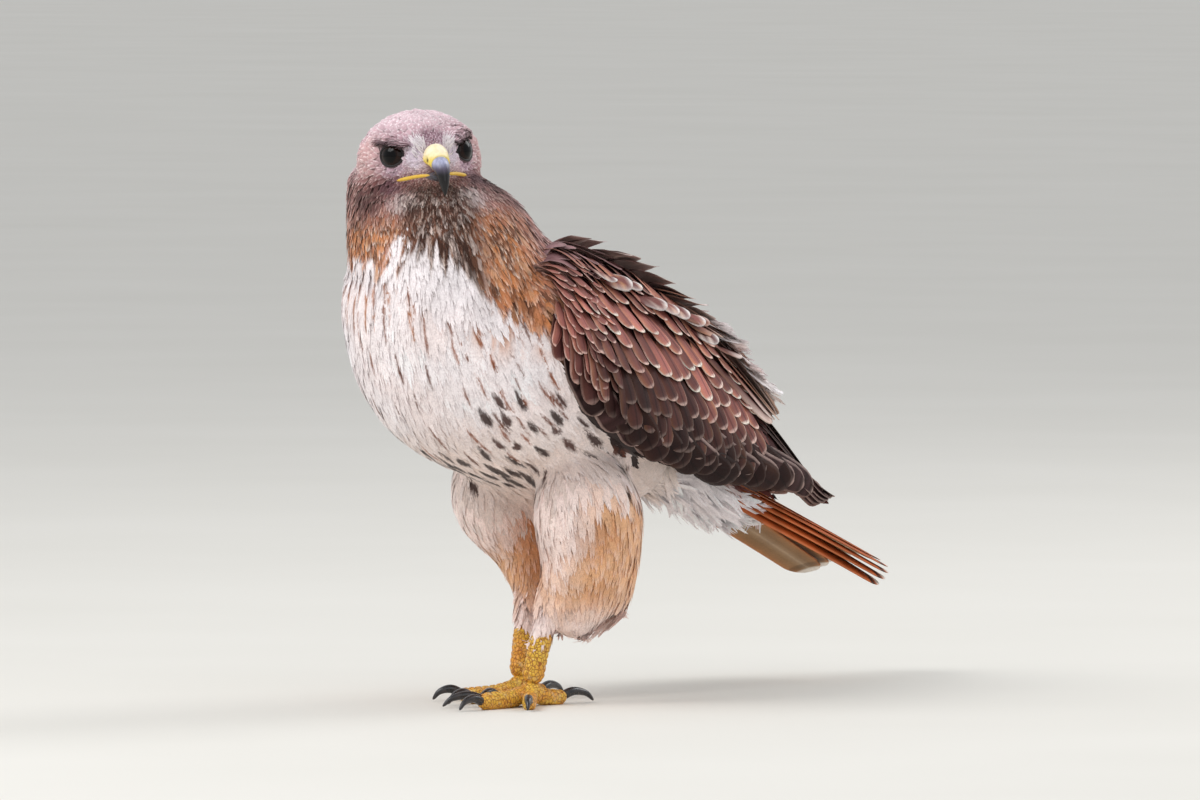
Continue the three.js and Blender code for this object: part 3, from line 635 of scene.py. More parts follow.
def shape_sockets(p):
    """Draws the skin back behind each eyeball inside the lids, and lays it on the eyeball round them."""
    local = to_head(p)
    for hand in (1, -1):
        centre = eye_centre(hand)
        off, away, angle = eye_polar(p, hand)
        near = (away < EYE_RADIUS + 8) & (angle < OPENING + 0.1)
        local[near] = centre + unit(off[near]) * (EYE_RADIUS - SOCKET_DEPTH)
        round_it = (away < EYE_RADIUS + SOCKET_RIM) & ~near & (angle < 1.9)
        local[round_it] = centre + unit(off[round_it]) * (EYE_RADIUS + SOCKET_RIM)
    moved = from_head(local)
    in_head = np.linalg.norm(p - HEAD_CENTRE, axis=1) < 60
    return np.where(in_head[:, None], moved, p)


def vertex_normals(p, quads):
    """The way out of a surface at each point, with large quads counting more."""
    flat = np.cross(p[quads[:, 2]] - p[quads[:, 0]], p[quads[:, 3]] - p[quads[:, 1]])
    total = np.zeros_like(p)
    for k in range(4):
        np.add.at(total, quads[:, k], flat)
    return unit(total)


def diffuse(values, quads, rounds):
    """Evens values out over the skin."""
    one, other = np.vstack([quads[:, [k, (k + 1) % 4]] for k in range(4)]).T
    count = np.bincount(one, minlength=len(values)).astype(float)[:, None]
    for _ in range(rounds):
        total = np.zeros_like(values)
        for column in range(values.shape[1]):
            total[:, column] = np.bincount(one, weights=values[other, column], minlength=len(values))
        values = 0.5 * values + 0.5 * total / np.maximum(count, 1)
    return values


# The scaly part of the leg ends at this height
BARE_BELOW = 38.0
# How many places are tried for each root that a square of the spacing's size has room for
CANDIDATES = 9


def point_tree(points):
    """Points to be searched by nearness."""
    tree = KDTree(len(points))
    for i, q in enumerate(points):
        tree.insert(q, i)
    tree.balance()
    return tree


class Skin:
    """The skin's surface with the lie of the coat over it."""

    def __init__(self):
        self.p, self.quads = build_skin()
        self.n = vertex_normals(self.p, self.quads)
        self.tree = BVHTree.FromPolygons([Vector(v) for v in self.p], self.quads.tolist())
        self.label = self.labels(self.p)
        lie = unit(self.tangent(self.lie(self.p, self.label), self.n))
        lie = diffuse(lie, self.quads, 14)
        # over the flanks and the thighs it turns gradually
        y, z = self.p[:, 1], self.p[:, 2]
        flank = ramp(z, 85, 105) * ramp(-z, -190, -160) * ramp(-y, -110, -70)
        lie = mix(lie, diffuse(lie, self.quads, 90), flank[:, None])
        self.way = unit(self.tangent(lie, self.n))

    def quad_places(self):
        """The quads' middles, and the kinds of form they lie on."""
        return self.p[self.quads].mean(axis=1), FORM_KINDS[self.label[self.quads[:, 0]]]

    @staticmethod
    def labels(p):
        """Which form each place lies on."""
        gaps = []
        for name, form in FORMS.items():
            share, _, height = form.coords(p)
            gaps.append(np.abs(height + coat_depth(name, share)))
        return np.argmin(np.array(gaps), axis=0)

    @staticmethod
    def tangent(v, n):
        return v - n * dot(v, n)

    @staticmethod
    def lie(p, label):
        """Which way feathers point at each place, before it is laid along the skin."""
        way = np.zeros_like(p)
        for i, name in enumerate(FORM_NAMES):
            here = label == i
            kind, form = kind_of(name), FORMS[name]
            if not here.any():
                continue
            share, _, _ = form.coords(p[here])
            travel = form.travel[np.round(share * (len(form.centres) - 1)).astype(int)]
            if kind == "head":
                local = to_head(p[here])
                away = unit(local - BILL_ROOT)
                away[:, 2] -= 0.55 * ramp(local[:, 1], -5, 30) + 0.35 * ramp(-local[:, 2], 2, 20)
                # outwards round the eyes
                for hand in (1, -1):
                    off, dist, angle = eye_polar(p[here], hand)
                    axis = eye_axis(hand)
                    outward = unit(off - axis * (off @ axis)[:, None])
                    close = bump(angle, OPENING, 0.35) * (dist < EYE_RADIUS + 7)
                    away = away + outward * (1.1 * close)[:, None]
                way[here] = unit(away) @ HEAD_AXES.T
            elif kind in ("thigh", "tarsus"):
                way[here] = unit(DOWN + 0.3 * travel + (0, 0.22, 0))
            elif kind == "body":
                fall = mix(0.5, 0.02, ramp(share, 0.3, 0.6))
                way[here] = unit(travel + fall[:, None] * DOWN)
            else:
                stretch, fall = {"wing": (0.8, 0.55), "rump": (1.0, 0.08)}[kind]
                way[here] = unit(stretch * travel + fall * DOWN)
        return way

    def nearest(self, p):
        """The skin under points: place, normal and lie."""
        at, face = np.empty_like(p), np.empty(len(p), dtype=int)
        for i, q in enumerate(p):
            found, _, face[i], _ = self.tree.find_nearest(Vector(q))
            at[i] = found
        corners = self.quads[face]
        weight = 1 / (np.linalg.norm(self.p[corners] - at[:, None], axis=-1, keepdims=True) + 0.3)
        normal = unit((self.n[corners] * weight).sum(1))
        way = unit(self.tangent((self.way[corners] * weight).sum(1), normal))
        return at, normal, way

    def scatter(self, chosen, spacing, seed):
        """Points evenly spread over the quads that are chosen, with a spacing for each."""
        draw = np.random.default_rng(seed)
        quads = self.quads[chosen]
        a, b, c, d = (self.p[quads[:, k]] for k in range(4))
        area = np.linalg.norm(np.cross(c - a, d - b), axis=1) / 2
        many = draw.poisson(area / spacing[chosen] ** 2 * CANDIDATES)
        which = np.repeat(np.arange(len(quads)), many)
        u, v = draw.random((2, len(which), 1))
        p = (a[which] * (1 - u) + b[which] * u) * (1 - v) + (d[which] * (1 - u) + c[which] * u) * v
        gap = spacing[chosen][which]
        order = draw.permutation(len(p))
        tree = point_tree(p)
        alive = np.ones(len(p), dtype=bool)
        kept = []
        for i in order:
            if not alive[i]:
                continue
            kept.append(i)
            for _, j, _ in tree.find_range(p[i], gap[i]):
                alive[j] = False
        return p[kept]


# Feathers

class Kit:
    """A feather's pattern: each point's place across and along, height, barb and face, and the triangles."""

    def __init__(self, across, along, stand, barb, faces, lower=None):
        self.across, self.along, self.stand = np.array(across), np.array(along), np.array(stand)
        self.barb, self.faces = np.array(barb), np.array(faces)
        self.lower = np.zeros(len(self.across), bool) if lower is None else np.array(lower)
        self.barbs = int(self.barb.max()) + 1


def tuft_kit(barbs, steps, fullness, point_at):
    """A soft feather as a fan of tapered barbs that leave the shaft and end along an oval edge.

    fullness is how much the barbs overlap, and point_at is how far along the outermost ones end.
    """
    across, along, barb, faces = [], [], [], []
    for order, t in enumerate(np.linspace(-1, 1, barbs)):
        end = 1 - (1 - point_at) * abs(t) ** 1.6
        start = max(0.0, end - 0.62)
        for row in range(steps + 1):
            q = 1 - (1 - row / steps) ** 1.7
            centre = t * q**0.75 * 0.92
            wide = fullness / barbs * (0.75 + 0.9 * q) * (1 - q**4)
            base = len(across)
            sides = (-wide, wide) if row < steps else (0,)
            for side in sides:
                across.append(centre + side)
                along.append(mix(start, end, q))
                barb.append(order)
            if row < steps - 1:
                faces += [(base, base + 1, base + 3), (base, base + 3, base + 2)]
            elif row < steps:
                faces.append((base, base + 1, base + 2))
    return Kit(across, along, np.zeros(len(across)), barb, faces)


def vane_outline(v, root=0.35, tip=0.72, sharp=2.2):
    """How wide a vane is along its length, from a narrow root to a rounded end."""
    closing = np.clip((v - tip) / (1 - tip), 0, 1) ** sharp
    return mix(root, 1, ramp(v, 0, 0.4)) * np.sqrt(np.clip(1 - closing, 0.015, 1))


def vane_kit(columns, rows, thick):
    """A closed vane: an upper and a lower sheet that meet at the edge."""
    columns, rows = np.asarray(columns, float), np.asarray(rows, float)
    across, along, stand, lower, faces = [], [], [], [], []
    index = {}
    for face in (0, 1):
        for r, v in enumerate(rows):
            for c, t in enumerate(columns):
                rim = r in (0, len(rows) - 1) or c in (0, len(columns) - 1)
                if face and rim:
                    index[1, r, c] = index[0, r, c]
                    continue
                index[face, r, c] = len(across)
                across.append(t)
                along.append(v)
                stand.append(0.0 if rim else (-thick if face else 0.0))
                lower.append(bool(face))
    for r in range(len(rows) - 1):
        for c in range(len(columns) - 1):
            for face in (0, 1):
                corners = ((r, c), (r, c + 1), (r + 1, c + 1), (r + 1, c))
                a, b, d, e = (index[face, i, j] for i, j in corners)
                faces += [(a, b, d), (a, d, e)] if face == 0 else [(a, d, b), (a, e, d)]
    return Kit(across, along, stand, np.zeros(len(across), int), faces, lower)


# A small feather's size in its coat's unwrap
PATCH = 0.003


class Plumes:
    """Many feathers of one pattern, laid along their stems."""

    def __init__(
        self, kit, stems, normals, half, draw,
        roll=None, ragged=0.0, rough=0.04, curl=0.0, camber=0.22, arch=0.3, outline=None,
    ):
        """stems and normals hold points of each feather's middle line from root to tip.

        roll turns a feather about that line, ragged makes its barbs uneven and rough lifts them, curl raises
        its tip, camber bows it across, arch does so for its shading, and outline gives its width along.
        """
        ragged = np.reshape(ragged, (-1, 1))
        self.kit, self.count = kit, len(stems)
        steps = stems.shape[1] - 1
        ahead = unit(np.gradient(stems, axis=1))
        side = unit(np.cross(ahead, normals))
        up = np.cross(side, ahead)
        roll = np.reshape(np.zeros(self.count) if roll is None else roll, (self.count, -1))
        roll = np.broadcast_to(roll, (self.count, steps + 1))[..., None]
        side, up = side * np.cos(roll) + up * np.sin(roll), up * np.cos(roll) - side * np.sin(roll)
        jitter = draw.normal(size=(self.count, kit.barbs, 3))
        self.tone = draw.normal(size=(self.count, kit.barbs))[:, kit.barb]
        v = kit.along * (1 + ragged * 0.12 * jitter[:, kit.barb, 0])
        self.v = np.clip(v, 0, 1.12)
        wide = outline(kit.along) if outline else 1.0
        self.x = kit.across + ragged * 0.06 * jitter[:, kit.barb, 1] * (kit.along > 0.2)
        x = self.x * wide * half[:, None]
        at = np.clip(self.v, 0, 1) * steps
        i = np.minimum(at.astype(int), steps - 1)
        t = (at - i)[..., None]
        n = np.arange(self.count)[:, None]
        p, s, u, a = (mix(w[n, i], w[n, i + 1], t) for w in (stems, side, up, ahead))
        length = np.linalg.norm(np.diff(stems, axis=1), axis=-1).sum(1)[:, None]
        over = np.clip(self.v - 1, 0, 1) * length
        lift = kit.stand - camber * half[:, None] * (self.x * wide) ** 2
        lift = lift + rough * ragged * half[:, None] * jitter[:, kit.barb, 2] * self.v
        lift = lift + np.reshape(curl, (-1, 1)) * self.v**3
        self.points = p + s * x[..., None] + u * lift[..., None] + a * over[..., None]
        self.smooth = unit(u + s * (arch * self.x * wide)[..., None])
        self.patch = None

    def part(self):
        """All points and triangles."""
        count, size = self.points.shape[:2]
        starts = np.arange(count)[:, None, None] * size
        return self.points.reshape(-1, 3), (self.kit.faces[None] + starts).reshape(-1, 3)

    def on_skin(self, uv):
        """A small patch for each feather at its root's place on the skin's own unwrap."""
        local = np.stack([np.clip(self.x, -1, 1) / 2, self.v - 0.5], axis=-1) * PATCH
        self.patch = np.clip(uv, 0.004, 0.996)[:, None] + local

    def in_cells(self, cells, across, up):
        """A cell of a grid for each feather, with its upper and lower face side by side."""
        column, row = cells[:, 0][:, None], cells[:, 1][:, None]
        half = np.where(self.kit.lower, 0.5, 0.0)
        u = (column + 0.04 + half + (np.clip(self.x, -1, 1) + 1) * 0.21) / across
        w = (row + 0.04 + np.clip(self.v, 0, 1) * 0.92) / up
        self.patch = np.stack([u + np.zeros_like(w), w], axis=-1)


def soften(obj, normals, share):
    """Turns a coat's shading normals towards those of whole feathers, since fine barbs show no facets."""
    own = np.empty(len(obj.data.vertices) * 3, np.float32)
    obj.data.vertex_normals.foreach_get("vector", own)
    blended = unit(mix(own.reshape(-1, 3), normals, share))
    obj.data.normals_split_custom_set_from_vertices(blended.tolist())


def add_plumes(name, groups, material, slot, nodes=(), soft=0.0):
    """One piece from groups of (plumes, colours), with its shading softened by a share."""
    obj = add_mesh(name, *joined([plumes.part() for plumes, _ in groups]))
    if soft:
        soften(obj, np.vstack([plumes.smooth.reshape(-1, 3) for plumes, _ in groups]), soft)
    vanes = [np.stack([np.clip(plumes.x, -1, 1) / 2 + 0.5, plumes.v], axis=-1) for plumes, _ in groups]
    set_uv(obj, "OFBake", np.vstack([plumes.patch.reshape(-1, 2) for plumes, _ in groups]))
    set_uv(obj, "vane", np.vstack([vane.reshape(-1, 2) for vane in vanes]))
    set_tint(obj, np.vstack([colours.reshape(-1, 3) for _, colours in groups]))
    piece(obj, material, slot, *nodes)


def lay(skin, roots, length, depth, draw, steps=4, loose=0.15, sway=0.16, rise=0.8):
    """Stems that leave their roots and follow the lie of the coat over the skin, rising to its depth.

    loose is how far they keep straight on instead, and sway is how unevenly they turn aside.
    """
    at, normal, way = skin.nearest(roots)
    turn = draw.normal(size=(len(roots), 1)) * sway
    stems, normals = [at], [normal]
    straight = at.copy()
    heading = way
    for step in range(1, steps + 1):
        side = np.cross(normal, way)
        heading = unit(mix(way, heading, loose) + side * turn)
        stride = (length / steps)[:, None]
        straight = straight + heading * stride
        at, normal, way = skin.nearest(at + heading * stride)
        lift = normal * (depth * (step / steps) ** rise)[:, None]
        stems.append(mix(at + lift, straight + lift, loose))
        normals.append(normal)
    stems[0] = stems[0] - normals[0] * 0.3
    return np.stack(stems, axis=1), np.stack(normals, axis=1)


# Colours of the plumage

CREAM, WHITE = "#f6e8e7", "#fdf5f7"
PEACH, PEACH_PALE = "#e9b489", "#ffece8"
WING_DARK, WING_MID, WING_EDGE = "#452524", "#a0635c", "#f0cec3"
MANTLE, MANTLE_EDGE = "#a0777a", "#e0bdbb"
TAIL_RED, TAIL_BAR, TAIL_BAND, TAIL_UNDER = "#c25c2a", "#7d3a20", "#2c1a14", "#93714f"
# How far behind the left leg the right one stands
STRIDE = LEGS["right"]["back"]


def body_coords(p):
    """The share along the body, and how far to the left and to the back, from -1 to 1."""
    share, angle, _ = FORMS["body"].coords(p)
    return share, np.cos(angle), np.sin(angle)


def flow_noise(p, wide, long, seed):
    """Noise drawn out along the plumage: in rays from the bill over the hood, and downwards below it."""
    off = to_head(p) - BILL_ROOT
    far = np.linalg.norm(off, axis=1)
    rays = unit(off) * (60 / wide) + off / long
    falls = p / (wide, wide, long)
    return mix(noise(rays, 1, seed), noise(falls, 1, seed), ramp(far, 75, 105))


def flat_colour(p, kinds, draw=None, hooded=True):
    """The colours of a feather and its edge at each place, by the kind of form that it grows on."""
    count = len(p)
    kinds = np.broadcast_to(kinds, count)
    loose = draw.normal(size=count) if draw is not None else np.zeros(count)
    share, _, back = body_coords(p)
    z = p[:, 2]
    base = blend(WHITE, CREAM, 0.5 + 0.5 * noise(p, 25, 3))
    base = paint(base, "#d9bfae", 0.6 * ramp(-z, -190, -140) * ramp(share, 0.42, 0.62))
    edge = paint(base, WHITE, 0.6)
    # the back, which the wings leave bare in places
    behind = ramp(back, 0.35, 0.7) * ramp(share, 0.1, 0.2)
    base = paint(base, MANTLE, behind)
    edge = paint(edge, MANTLE_EDGE, behind)
    hood = hooded * (1 - breast_share(p, loose)) * ramp(z, 195, 215) * (1 - behind * ramp(-z, -262, -245))
    hood_base, hood_edge, _ = hood_colour(p, draw)
    base = paint(base, hood_base, hood)
    edge = paint(edge, paint(hood_edge, WHITE, 0.4 * ramp(-z, -262, -240)), hood)
    # thighs: peach, paler in front and low down, rusty painted shade inside, cream with white edges high up
    # outside
    leg = (kinds == "thigh") | (kinds == "tarsus")
    behind_leg = p[:, 1] - np.where(p[:, 0] < 0, STRIDE, 0)
    high = ramp(z + 6 * noise(p, 9, 14), 112, 134) * ramp(np.abs(p[:, 0]) + 0.5 * behind_leg, 42, 66)
    thigh = blend(PEACH, "#c9824f", 0.45 * np.clip(noise(p, 18, 12) + 0.1 * loose, 0, 1))
    # the inner side facing the other leg: darker and rustier, a painted shade between the legs
    thigh = paint(thigh, "#bd7446", 0.6 * ramp(-np.abs(p[:, 0]), -36, -16) * ramp(z, 50, 80))
    thigh = paint(thigh, PEACH_PALE, 0.85 * ramp(-behind_leg, 6, 26))
    thigh = paint(thigh, PEACH_PALE, 0.85 * ramp(-z, -70, -46))
    base = np.where(leg[:, None], paint(thigh, CREAM, 0.85 * high), base)
    edge = np.where(leg[:, None], paint(paint(thigh, PEACH_PALE, 0.55), WHITE, 0.8 * high), edge)
    # rump, white below and brown above
    rump = kinds == "rump"
    middle = spline(np.array(RUMP)[:, 2:3], (p[:, 1] - RUMP[0][1]) / (RUMP[-1][1] - RUMP[0][1]))[:, 0]
    top = ramp(z - middle, 2, 9)
    tone = paint(blend(WHITE, "#d8b588", ramp(-p[:, 1], -130, -90)), WING_MID, top)
    base = np.where(rump[:, None], tone, base)
    edge = np.where(rump[:, None], blend(WHITE, WING_EDGE, top), edge)
    # wings: paler where the mantle meets the neck, dark low down, and rusty on the wrist's inner side
    wing = kinds == "wing"
    soft, low, wrist = np.zeros((3, count))
    for name, hand in (("wing_left", 1), ("wing_right", -1)):
        here = wing & (p[:, 0] * hand > 0)
        along, angle, _ = FORMS[name].coords(p[here])
        across = np.abs(angle) / np.pi
        soft[here] = ramp(-along, -0.4, -0.15) * ramp(-across, -0.42, -0.26)
        low[here] = ramp(across, 0.6, 0.8) * ramp(along, 0.1, 0.2)
        wrist[here] = ramp(-along, -0.16, -0.08) * ramp(across, 0.4, 0.6)
    dusky = blend(WING_MID, WING_DARK, 0.85 + 0.3 * loose)
    dusky = paint(paint(dusky, "#2b1a19", low), "#b98463", wrist)
    base = np.where(wing[:, None], paint(dusky, MANTLE, soft), base)
    edge = np.where(wing[:, None], paint(blend("#6b4a41", "#33211f", low), MANTLE_EDGE, soft), edge)
    return base, edge


# Marks on both sides of the head: place in the head's axes, sizes, feather's and edge's colour, strength
HEAD_MARKS = [
    ((0, -30, 16), (16, 7, 8), "#805c69", "#d3b8c2", 0.9),
    ((30, -6, 12), (8, 12, 6), "#cba5a6", "#f9e4e2", 0.75),
    # the thin dark line just over the eye: a painted shadow of the brow
    ((22, -16, 12.5), (9, 11, 2.2), "#4a2f34", "#7c5c62", 0.85),
    ((12, -32, 4), (7, 9, 8), "#dac8d6", "#f5edf5", 0.95),
    ((22, -19, -3.5), (9, 8, 3.6), "#b898a8", "#e9d5df", 0.85),
    ((35, 2, 3), (7, 12, 9), "#c79b98", "#f7dedb", 0.8),
    ((26, -16, -13), (11, 10, 5), "#55343c", "#7e5862", 0.9),
    ((34, -4, -22), (13, 14, 10), "#4a2a2a", "#7c524b", 0.85),
    ((18, -31, -23), (9, 9, 4.5), "#e6dadc", "#f8f2f2", 0.9),
    ((6, -36, -16), (7, 8, 5), "#4f3b33", "#947b6a", 0.85),
]


def hood_colour(p, draw=None):
    """Head and neck: the colours of a feather and its edge, and the streak along its shaft."""
    local = to_head(p)
    count = len(p)
    loose = draw.normal(size=count) if draw is not None else np.zeros(count)
    chance = draw.random(count) if draw is not None else np.full(count, 0.5)
    across, ahead, below = np.abs(local[:, 0]), -local[:, 1], -local[:, 2]
    fine, broad = flow_noise(p, 2.2, 16, 31), flow_noise(p, 5.5, 24, 32)
    # lilac grey, paler still at the very top as a painted highlight, and browner below the eyes
    base = blend("#a47a83", "#d8b6be", 0.55 + 0.35 * noise(p, 10, 21) + 0.2 * loose)
    edge = fill("#fff2f4", count)
    # the very top paler: a painted highlight
    base = paint(base, "#e6ccd2", 0.6 * ramp(local[:, 2], 17, 27))
    low = ramp(below, -4, 14)
    base = paint(base, "#8a5349", low * 0.9)
    edge = paint(edge, "#d3a598", low * 0.8)
    # the neck is rustier away from the face, with dark streaks
    down = ramp(below, 22, 46)
    base = paint(base, "#d08653", down * np.clip(0.85 + 0.35 * broad + 0.15 * loose, 0, 1))
    streaked = ramp(fine + 0.25 * loose, 0.25, 0.75) * ramp(below, 2, 18)
    base = paint(base, "#5a3426", (0.35 + 0.45 * down) * streaked)
    base = paint(base, "#dda983", down * ramp(-fine + 0.3 * broad + 0.3 * loose, 0.55, 1.1) * 0.8)
    edge = paint(edge, "#e3ae8a", down * 0.75)
    edge = paint(edge, "#f6e0d0", down * ramp(broad + 0.4 * loose, 0.2, 0.8) * 0.75)
    # it passes into the mantle over the shoulders
    shoulder = ramp(p[:, 1], -72, -36) * ramp(p[:, 2], 225, 250)
    base = paint(base, MANTLE, (0.75 + 0.2 * broad) * shoulder)
    edge = paint(edge, MANTLE_EDGE, 0.9 * shoulder)
    folded = np.stack([across, local[:, 1], local[:, 2]], axis=1)
    for place, sizes, inner, outer, strength in HEAD_MARKS:
        near = np.exp(-(((folded - place) / sizes) ** 2).sum(1))
        share = strength * np.clip((1.5 + 0.15 * loose + 0.3 * fine) * near, 0, 1)
        base = paint(base, inner, share)
        edge = paint(edge, outer, share)
    # the throat: dark and white streaks down from the bill
    throat = ramp(ahead, 4, 20) * ramp(below, 16, 23) * ramp(-across, -30, -16)
    white = throat * ramp(fine + 0.5 * broad + 0.012 * (below - 30) + 0.12 * loose, 0.15, 0.6)
    base = paint(base, blend("#40241e", "#7c5040", 0.5 + 0.6 * broad), throat * 0.9)
    edge = paint(edge, "#87604f", throat * 0.75)
    base = paint(base, "#dcc8c0", white * 0.7)
    edge = paint(edge, "#f0e2dd", white * 0.7)
    # some feathers have a dark streak
    strength = 0.7 * (chance * 7 % 1 < 0.16 + 0.2 * down) * ramp(below, 4, 20)
    return base, edge, strength


def breast_share(p, loose=0.0):
    """1 on the white breast and 0 on the hood, which ends in streaks and reaches lower on the left side."""
    _, side, back = body_coords(p)
    hood_end = 260 + 10 * bump(side, 0.42, 0.32) - 32 * ramp(side, 0.74, 0.95)
    hood_end = hood_end + 12 * flow_noise(p, 2.2, 45, 33) + 7 * flow_noise(p, 6.0, 60, 34)
    front = ramp(-back, -0.35, 0.1)
    return front * ramp(hood_end - p[:, 2] + 6 * loose, -4, 4)


# The dark streak along a hood feather's shaft: half width, start and end along it, colour
STREAK_HALF, STREAK_START, STREAK_END, STREAK_COLOUR = 0.2, 0.3, 0.95, "#43261c"


def shaded(plumes, base, edge, draw, rim=0.55, tip=0.8, edging=0.8, root=0.8, vary=0.05, streak=None):
    """Each point's colour: feather, paler edge, painted shade at the root, and a streak along the shaft by its
    strength.

    rim is where the edge begins, tip and edging are how strong it is, and vary is how uneven the barbs are.
    """
    v, x = plumes.v, np.abs(plumes.x)
    colours = np.repeat(base[:, None], v.shape[1], axis=1)
    colours = paint(colours, edge[:, None], edging * np.maximum(ramp(x, rim, 1.0), ramp(v, 0.82, 1.0) * tip))
    if streak is not None:
        centre = np.abs(np.linspace(-1, 1, plumes.kit.barbs))[plumes.kit.barb]
        taper = STREAK_HALF * np.sqrt(np.clip(1 - ramp(v, 0.85, 1.0) * 0.8, 0, 1))
        inside = ramp(-centre[None], -taper - 0.06, -taper + 0.02)
        inside = inside * ramp(v, STREAK_START, STREAK_START + 0.12)
        inside = inside * ramp(-v, -STREAK_END, -STREAK_END + 0.05)
        colours = paint(colours, STREAK_COLOUR, inside * streak[:, None])
    # painted shade: darker towards the root, where the feathers above cover it
    shade = mix(root, 1.0, ramp(v, 0.1, 0.65))
    tone = 1 + vary * plumes.tone + 0.04 * draw.normal(size=(len(base), 1))
    return colours * (shade * tone)[..., None]


def unwrap(name, p):
    """Where points lie on a form's own unwrap: around and along."""
    share, angle, _ = FORMS[name].coords(p)
    return np.stack([angle / (2 * np.pi) + 0.5, np.clip(share, 0, 1)], axis=-1)


# Coat over the skin

KITS = {
    "hair": tuft_kit(3, 5, 1.6, 0.9),
    "scale": tuft_kit(9, 3, 1.9, 0.75),
    "soft": tuft_kit(9, 3, 1.8, 0.5),
    "long": tuft_kit(13, 4, 1.9, 0.35),
    "silk": tuft_kit(15, 6, 2.1, 0.4),
}
# Smooth feathers that lie flat on one another
SLEEK = {"ragged": 0.5, "rough": 0.0, "camber": 0.02, "arch": 0.05}
# How far apart feathers stand, and how far from its centre the head's own reach
SPACING = {
    "face": 1.35, "crown": 2.5, "neck": 3.1, "tarsus": 2.6, "wing": 5.5, "back": 5.5, "other": 4.0,
}
HEAD_REACH = 47


def plan(skin):
    """Which part of the coat each vertex of the skin bears, and the feathers' spacing there."""
    p, label = skin.p, skin.label
    kinds = FORM_KINDS[label]
    share, side, back = body_coords(p)
    part = np.full(len(p), "", dtype="U12")
    part[kinds == "body"] = "breast"
    part[(kinds == "body") & (back > 0.45)] = "back"
    part[(kinds == "body") & (share > 0.56) & (back <= 0.45)] = "belly"
    part[(kinds == "body") & (p[:, 2] > 262 - 22 * ramp(side, 0.2, 0.7))] = "neck"
    part[kinds == "rump"] = "rump"
    part[kinds == "head"] = "head"
    part[kinds == "wing"] = "wing"
    left = np.array([n.endswith("left") for n in FORM_NAMES])[label]
    leg = (kinds == "thigh") | (kinds == "tarsus")
    part[leg & ~left] = "leg_right"
    part[leg & left] = "leg_left"
    # the neck's feathers run on over the wrists
    for name in ("wing_left", "wing_right"):
        wing = np.flatnonzero(label == FORM_NAMES.index(name))
        along, angle, _ = FORMS[name].coords(p[wing])
        part[wing[(along < 0.1) & (np.abs(angle) < 0.5 * np.pi)]] = "neck"
    hood = (part == "head") | (part == "neck")
    part[hood] = np.where(np.linalg.norm(to_head(p[hood]), axis=1) < HEAD_REACH, "head", "neck")
    spacing = np.full(len(p), SPACING["other"])
    far = from_bill(p[hood])
    crown = ramp(to_head(p[hood])[:, 2], 4, 14) * ramp(far, 12, 30)
    spacing[hood] = mix(mix(SPACING["face"], SPACING["neck"], ramp(far, 8, 105)), SPACING["crown"], crown)
    spacing[part == "wing"] = SPACING["wing"]
    spacing[kinds == "tarsus"] = SPACING["tarsus"]
    spacing[part == "back"] = SPACING["back"]
    spacing = diffuse(spacing[:, None], skin.quads, 20)[:, 0]
    return part, spacing


def grow_coat(skin):
    part, spacing = plan(skin)
    quad_part = part[skin.quads[:, 0]]
    quad_space = spacing[skin.quads].mean(axis=1)
    feathered = skin.p[skin.quads, 2].mean(axis=1) > BARE_BELOW
    for seed, (name, grow) in enumerate(COATS.items(), 1):
        chosen = quad_part == name
        if name.startswith("leg"):
            chosen &= feathered
        roots = skin.scatter(chosen, quad_space, seed)
        grow(skin, name, roots, np.random.default_rng(100 + seed))


def mark_lines(skin, chosen, spacing, seed, look):
    """Marks along the lie of the coat: points of each, the ways along and out, half width and colour."""
    draw = np.random.default_rng(seed)
    roots = skin.scatter(chosen, np.full(len(skin.quads), float(spacing)), seed)
    count, steps = len(roots), 12
    length = varied(draw, count, look["length"], 0.25)
    stems, normals = lay(skin, roots, length, np.full(count, 1.2), draw, steps=steps, sway=0.05)
    v = np.linspace(0, 1, steps + 1)
    outline = np.sqrt(ramp(v, 0, look["fullest"]) * (1 - ramp(v, look["fullest"], 1.02)))
    half = varied(draw, count, look["half"], 0.25)[:, None] * outline
    tint = np.repeat(blend(*look["tints"], draw.random(count))[:, None], steps + 1, axis=1)
    ahead = unit(np.gradient(stems, axis=1))
    return [part.reshape(-1, *part.shape[2:]) for part in (stems, ahead, normals, half, tint)]


def draw_marks(points, colours, marks):
    """Lays marks over the feathers of a coat, from feather to feather."""
    p = points.reshape(-1, 3)
    flat = colours.reshape(-1, 3)
    stems, ahead, normals, half, tint = (np.concatenate(parts) for parts in zip(*marks))
    tree = point_tree(stems)
    at = np.array([tree.find(q)[1] for q in p])
    off = p - stems[at]
    along = dot(off, ahead[at])
    aside = np.linalg.norm(off - ahead[at] * along - normals[at] * dot(off, normals[at]), axis=1)
    # past a mark's end its nearest point lies further back than half the gap between a mark's points
    past = np.maximum(np.abs(along[:, 0]) - 1.2, 0)
    gap = np.hypot(aside, past) - half[at]
    inside = ramp(-gap, -0.25, 0.25) * (half[at] > 0.05)
    return paint(flat, tint[at], 0.95 * inside).reshape(colours.shape)


def varied(draw, count, size, spread=0.14):
    """Sizes that vary a little about one, or about one for each."""
    return size * np.clip(1 + spread * draw.normal(size=count), 0.6, 1.5)


def from_bill(p):
    """How far points lie from the bill's base."""
    return np.linalg.norm(to_head(p) - (0, -40, 2), axis=1)


# Rows of brow feathers from the lowest up: how many, how far they stand out, how far they hang, length
BROW_ROWS = [(18, 0.9, 3.6, 7.0), (16, 1.0, 2.8, 8.0), (16, 0.8, 1.3, 8.5), (15, 0.4, -0.4, 9.0)]
# The rows' feather and edge colours; the lowest row's dark is a painted shadow under the brow
BROW_TINTS = [("#3a2627", "#5d4246"), ("#7a5a61", "#cdb3ba"), ("#a07c84", "#efdbe0"), ("#b8949c", "#faeaee")]
BRISTLES = 110


# The hood's parts: pattern of feather, form whose unwrap they use, material, slot
HOOD_PARTS = {
    "head": ("scale", "head", "crown", "crown_feathers"), "neck": ("soft", "body", "neck", "neck_feathers"),
}


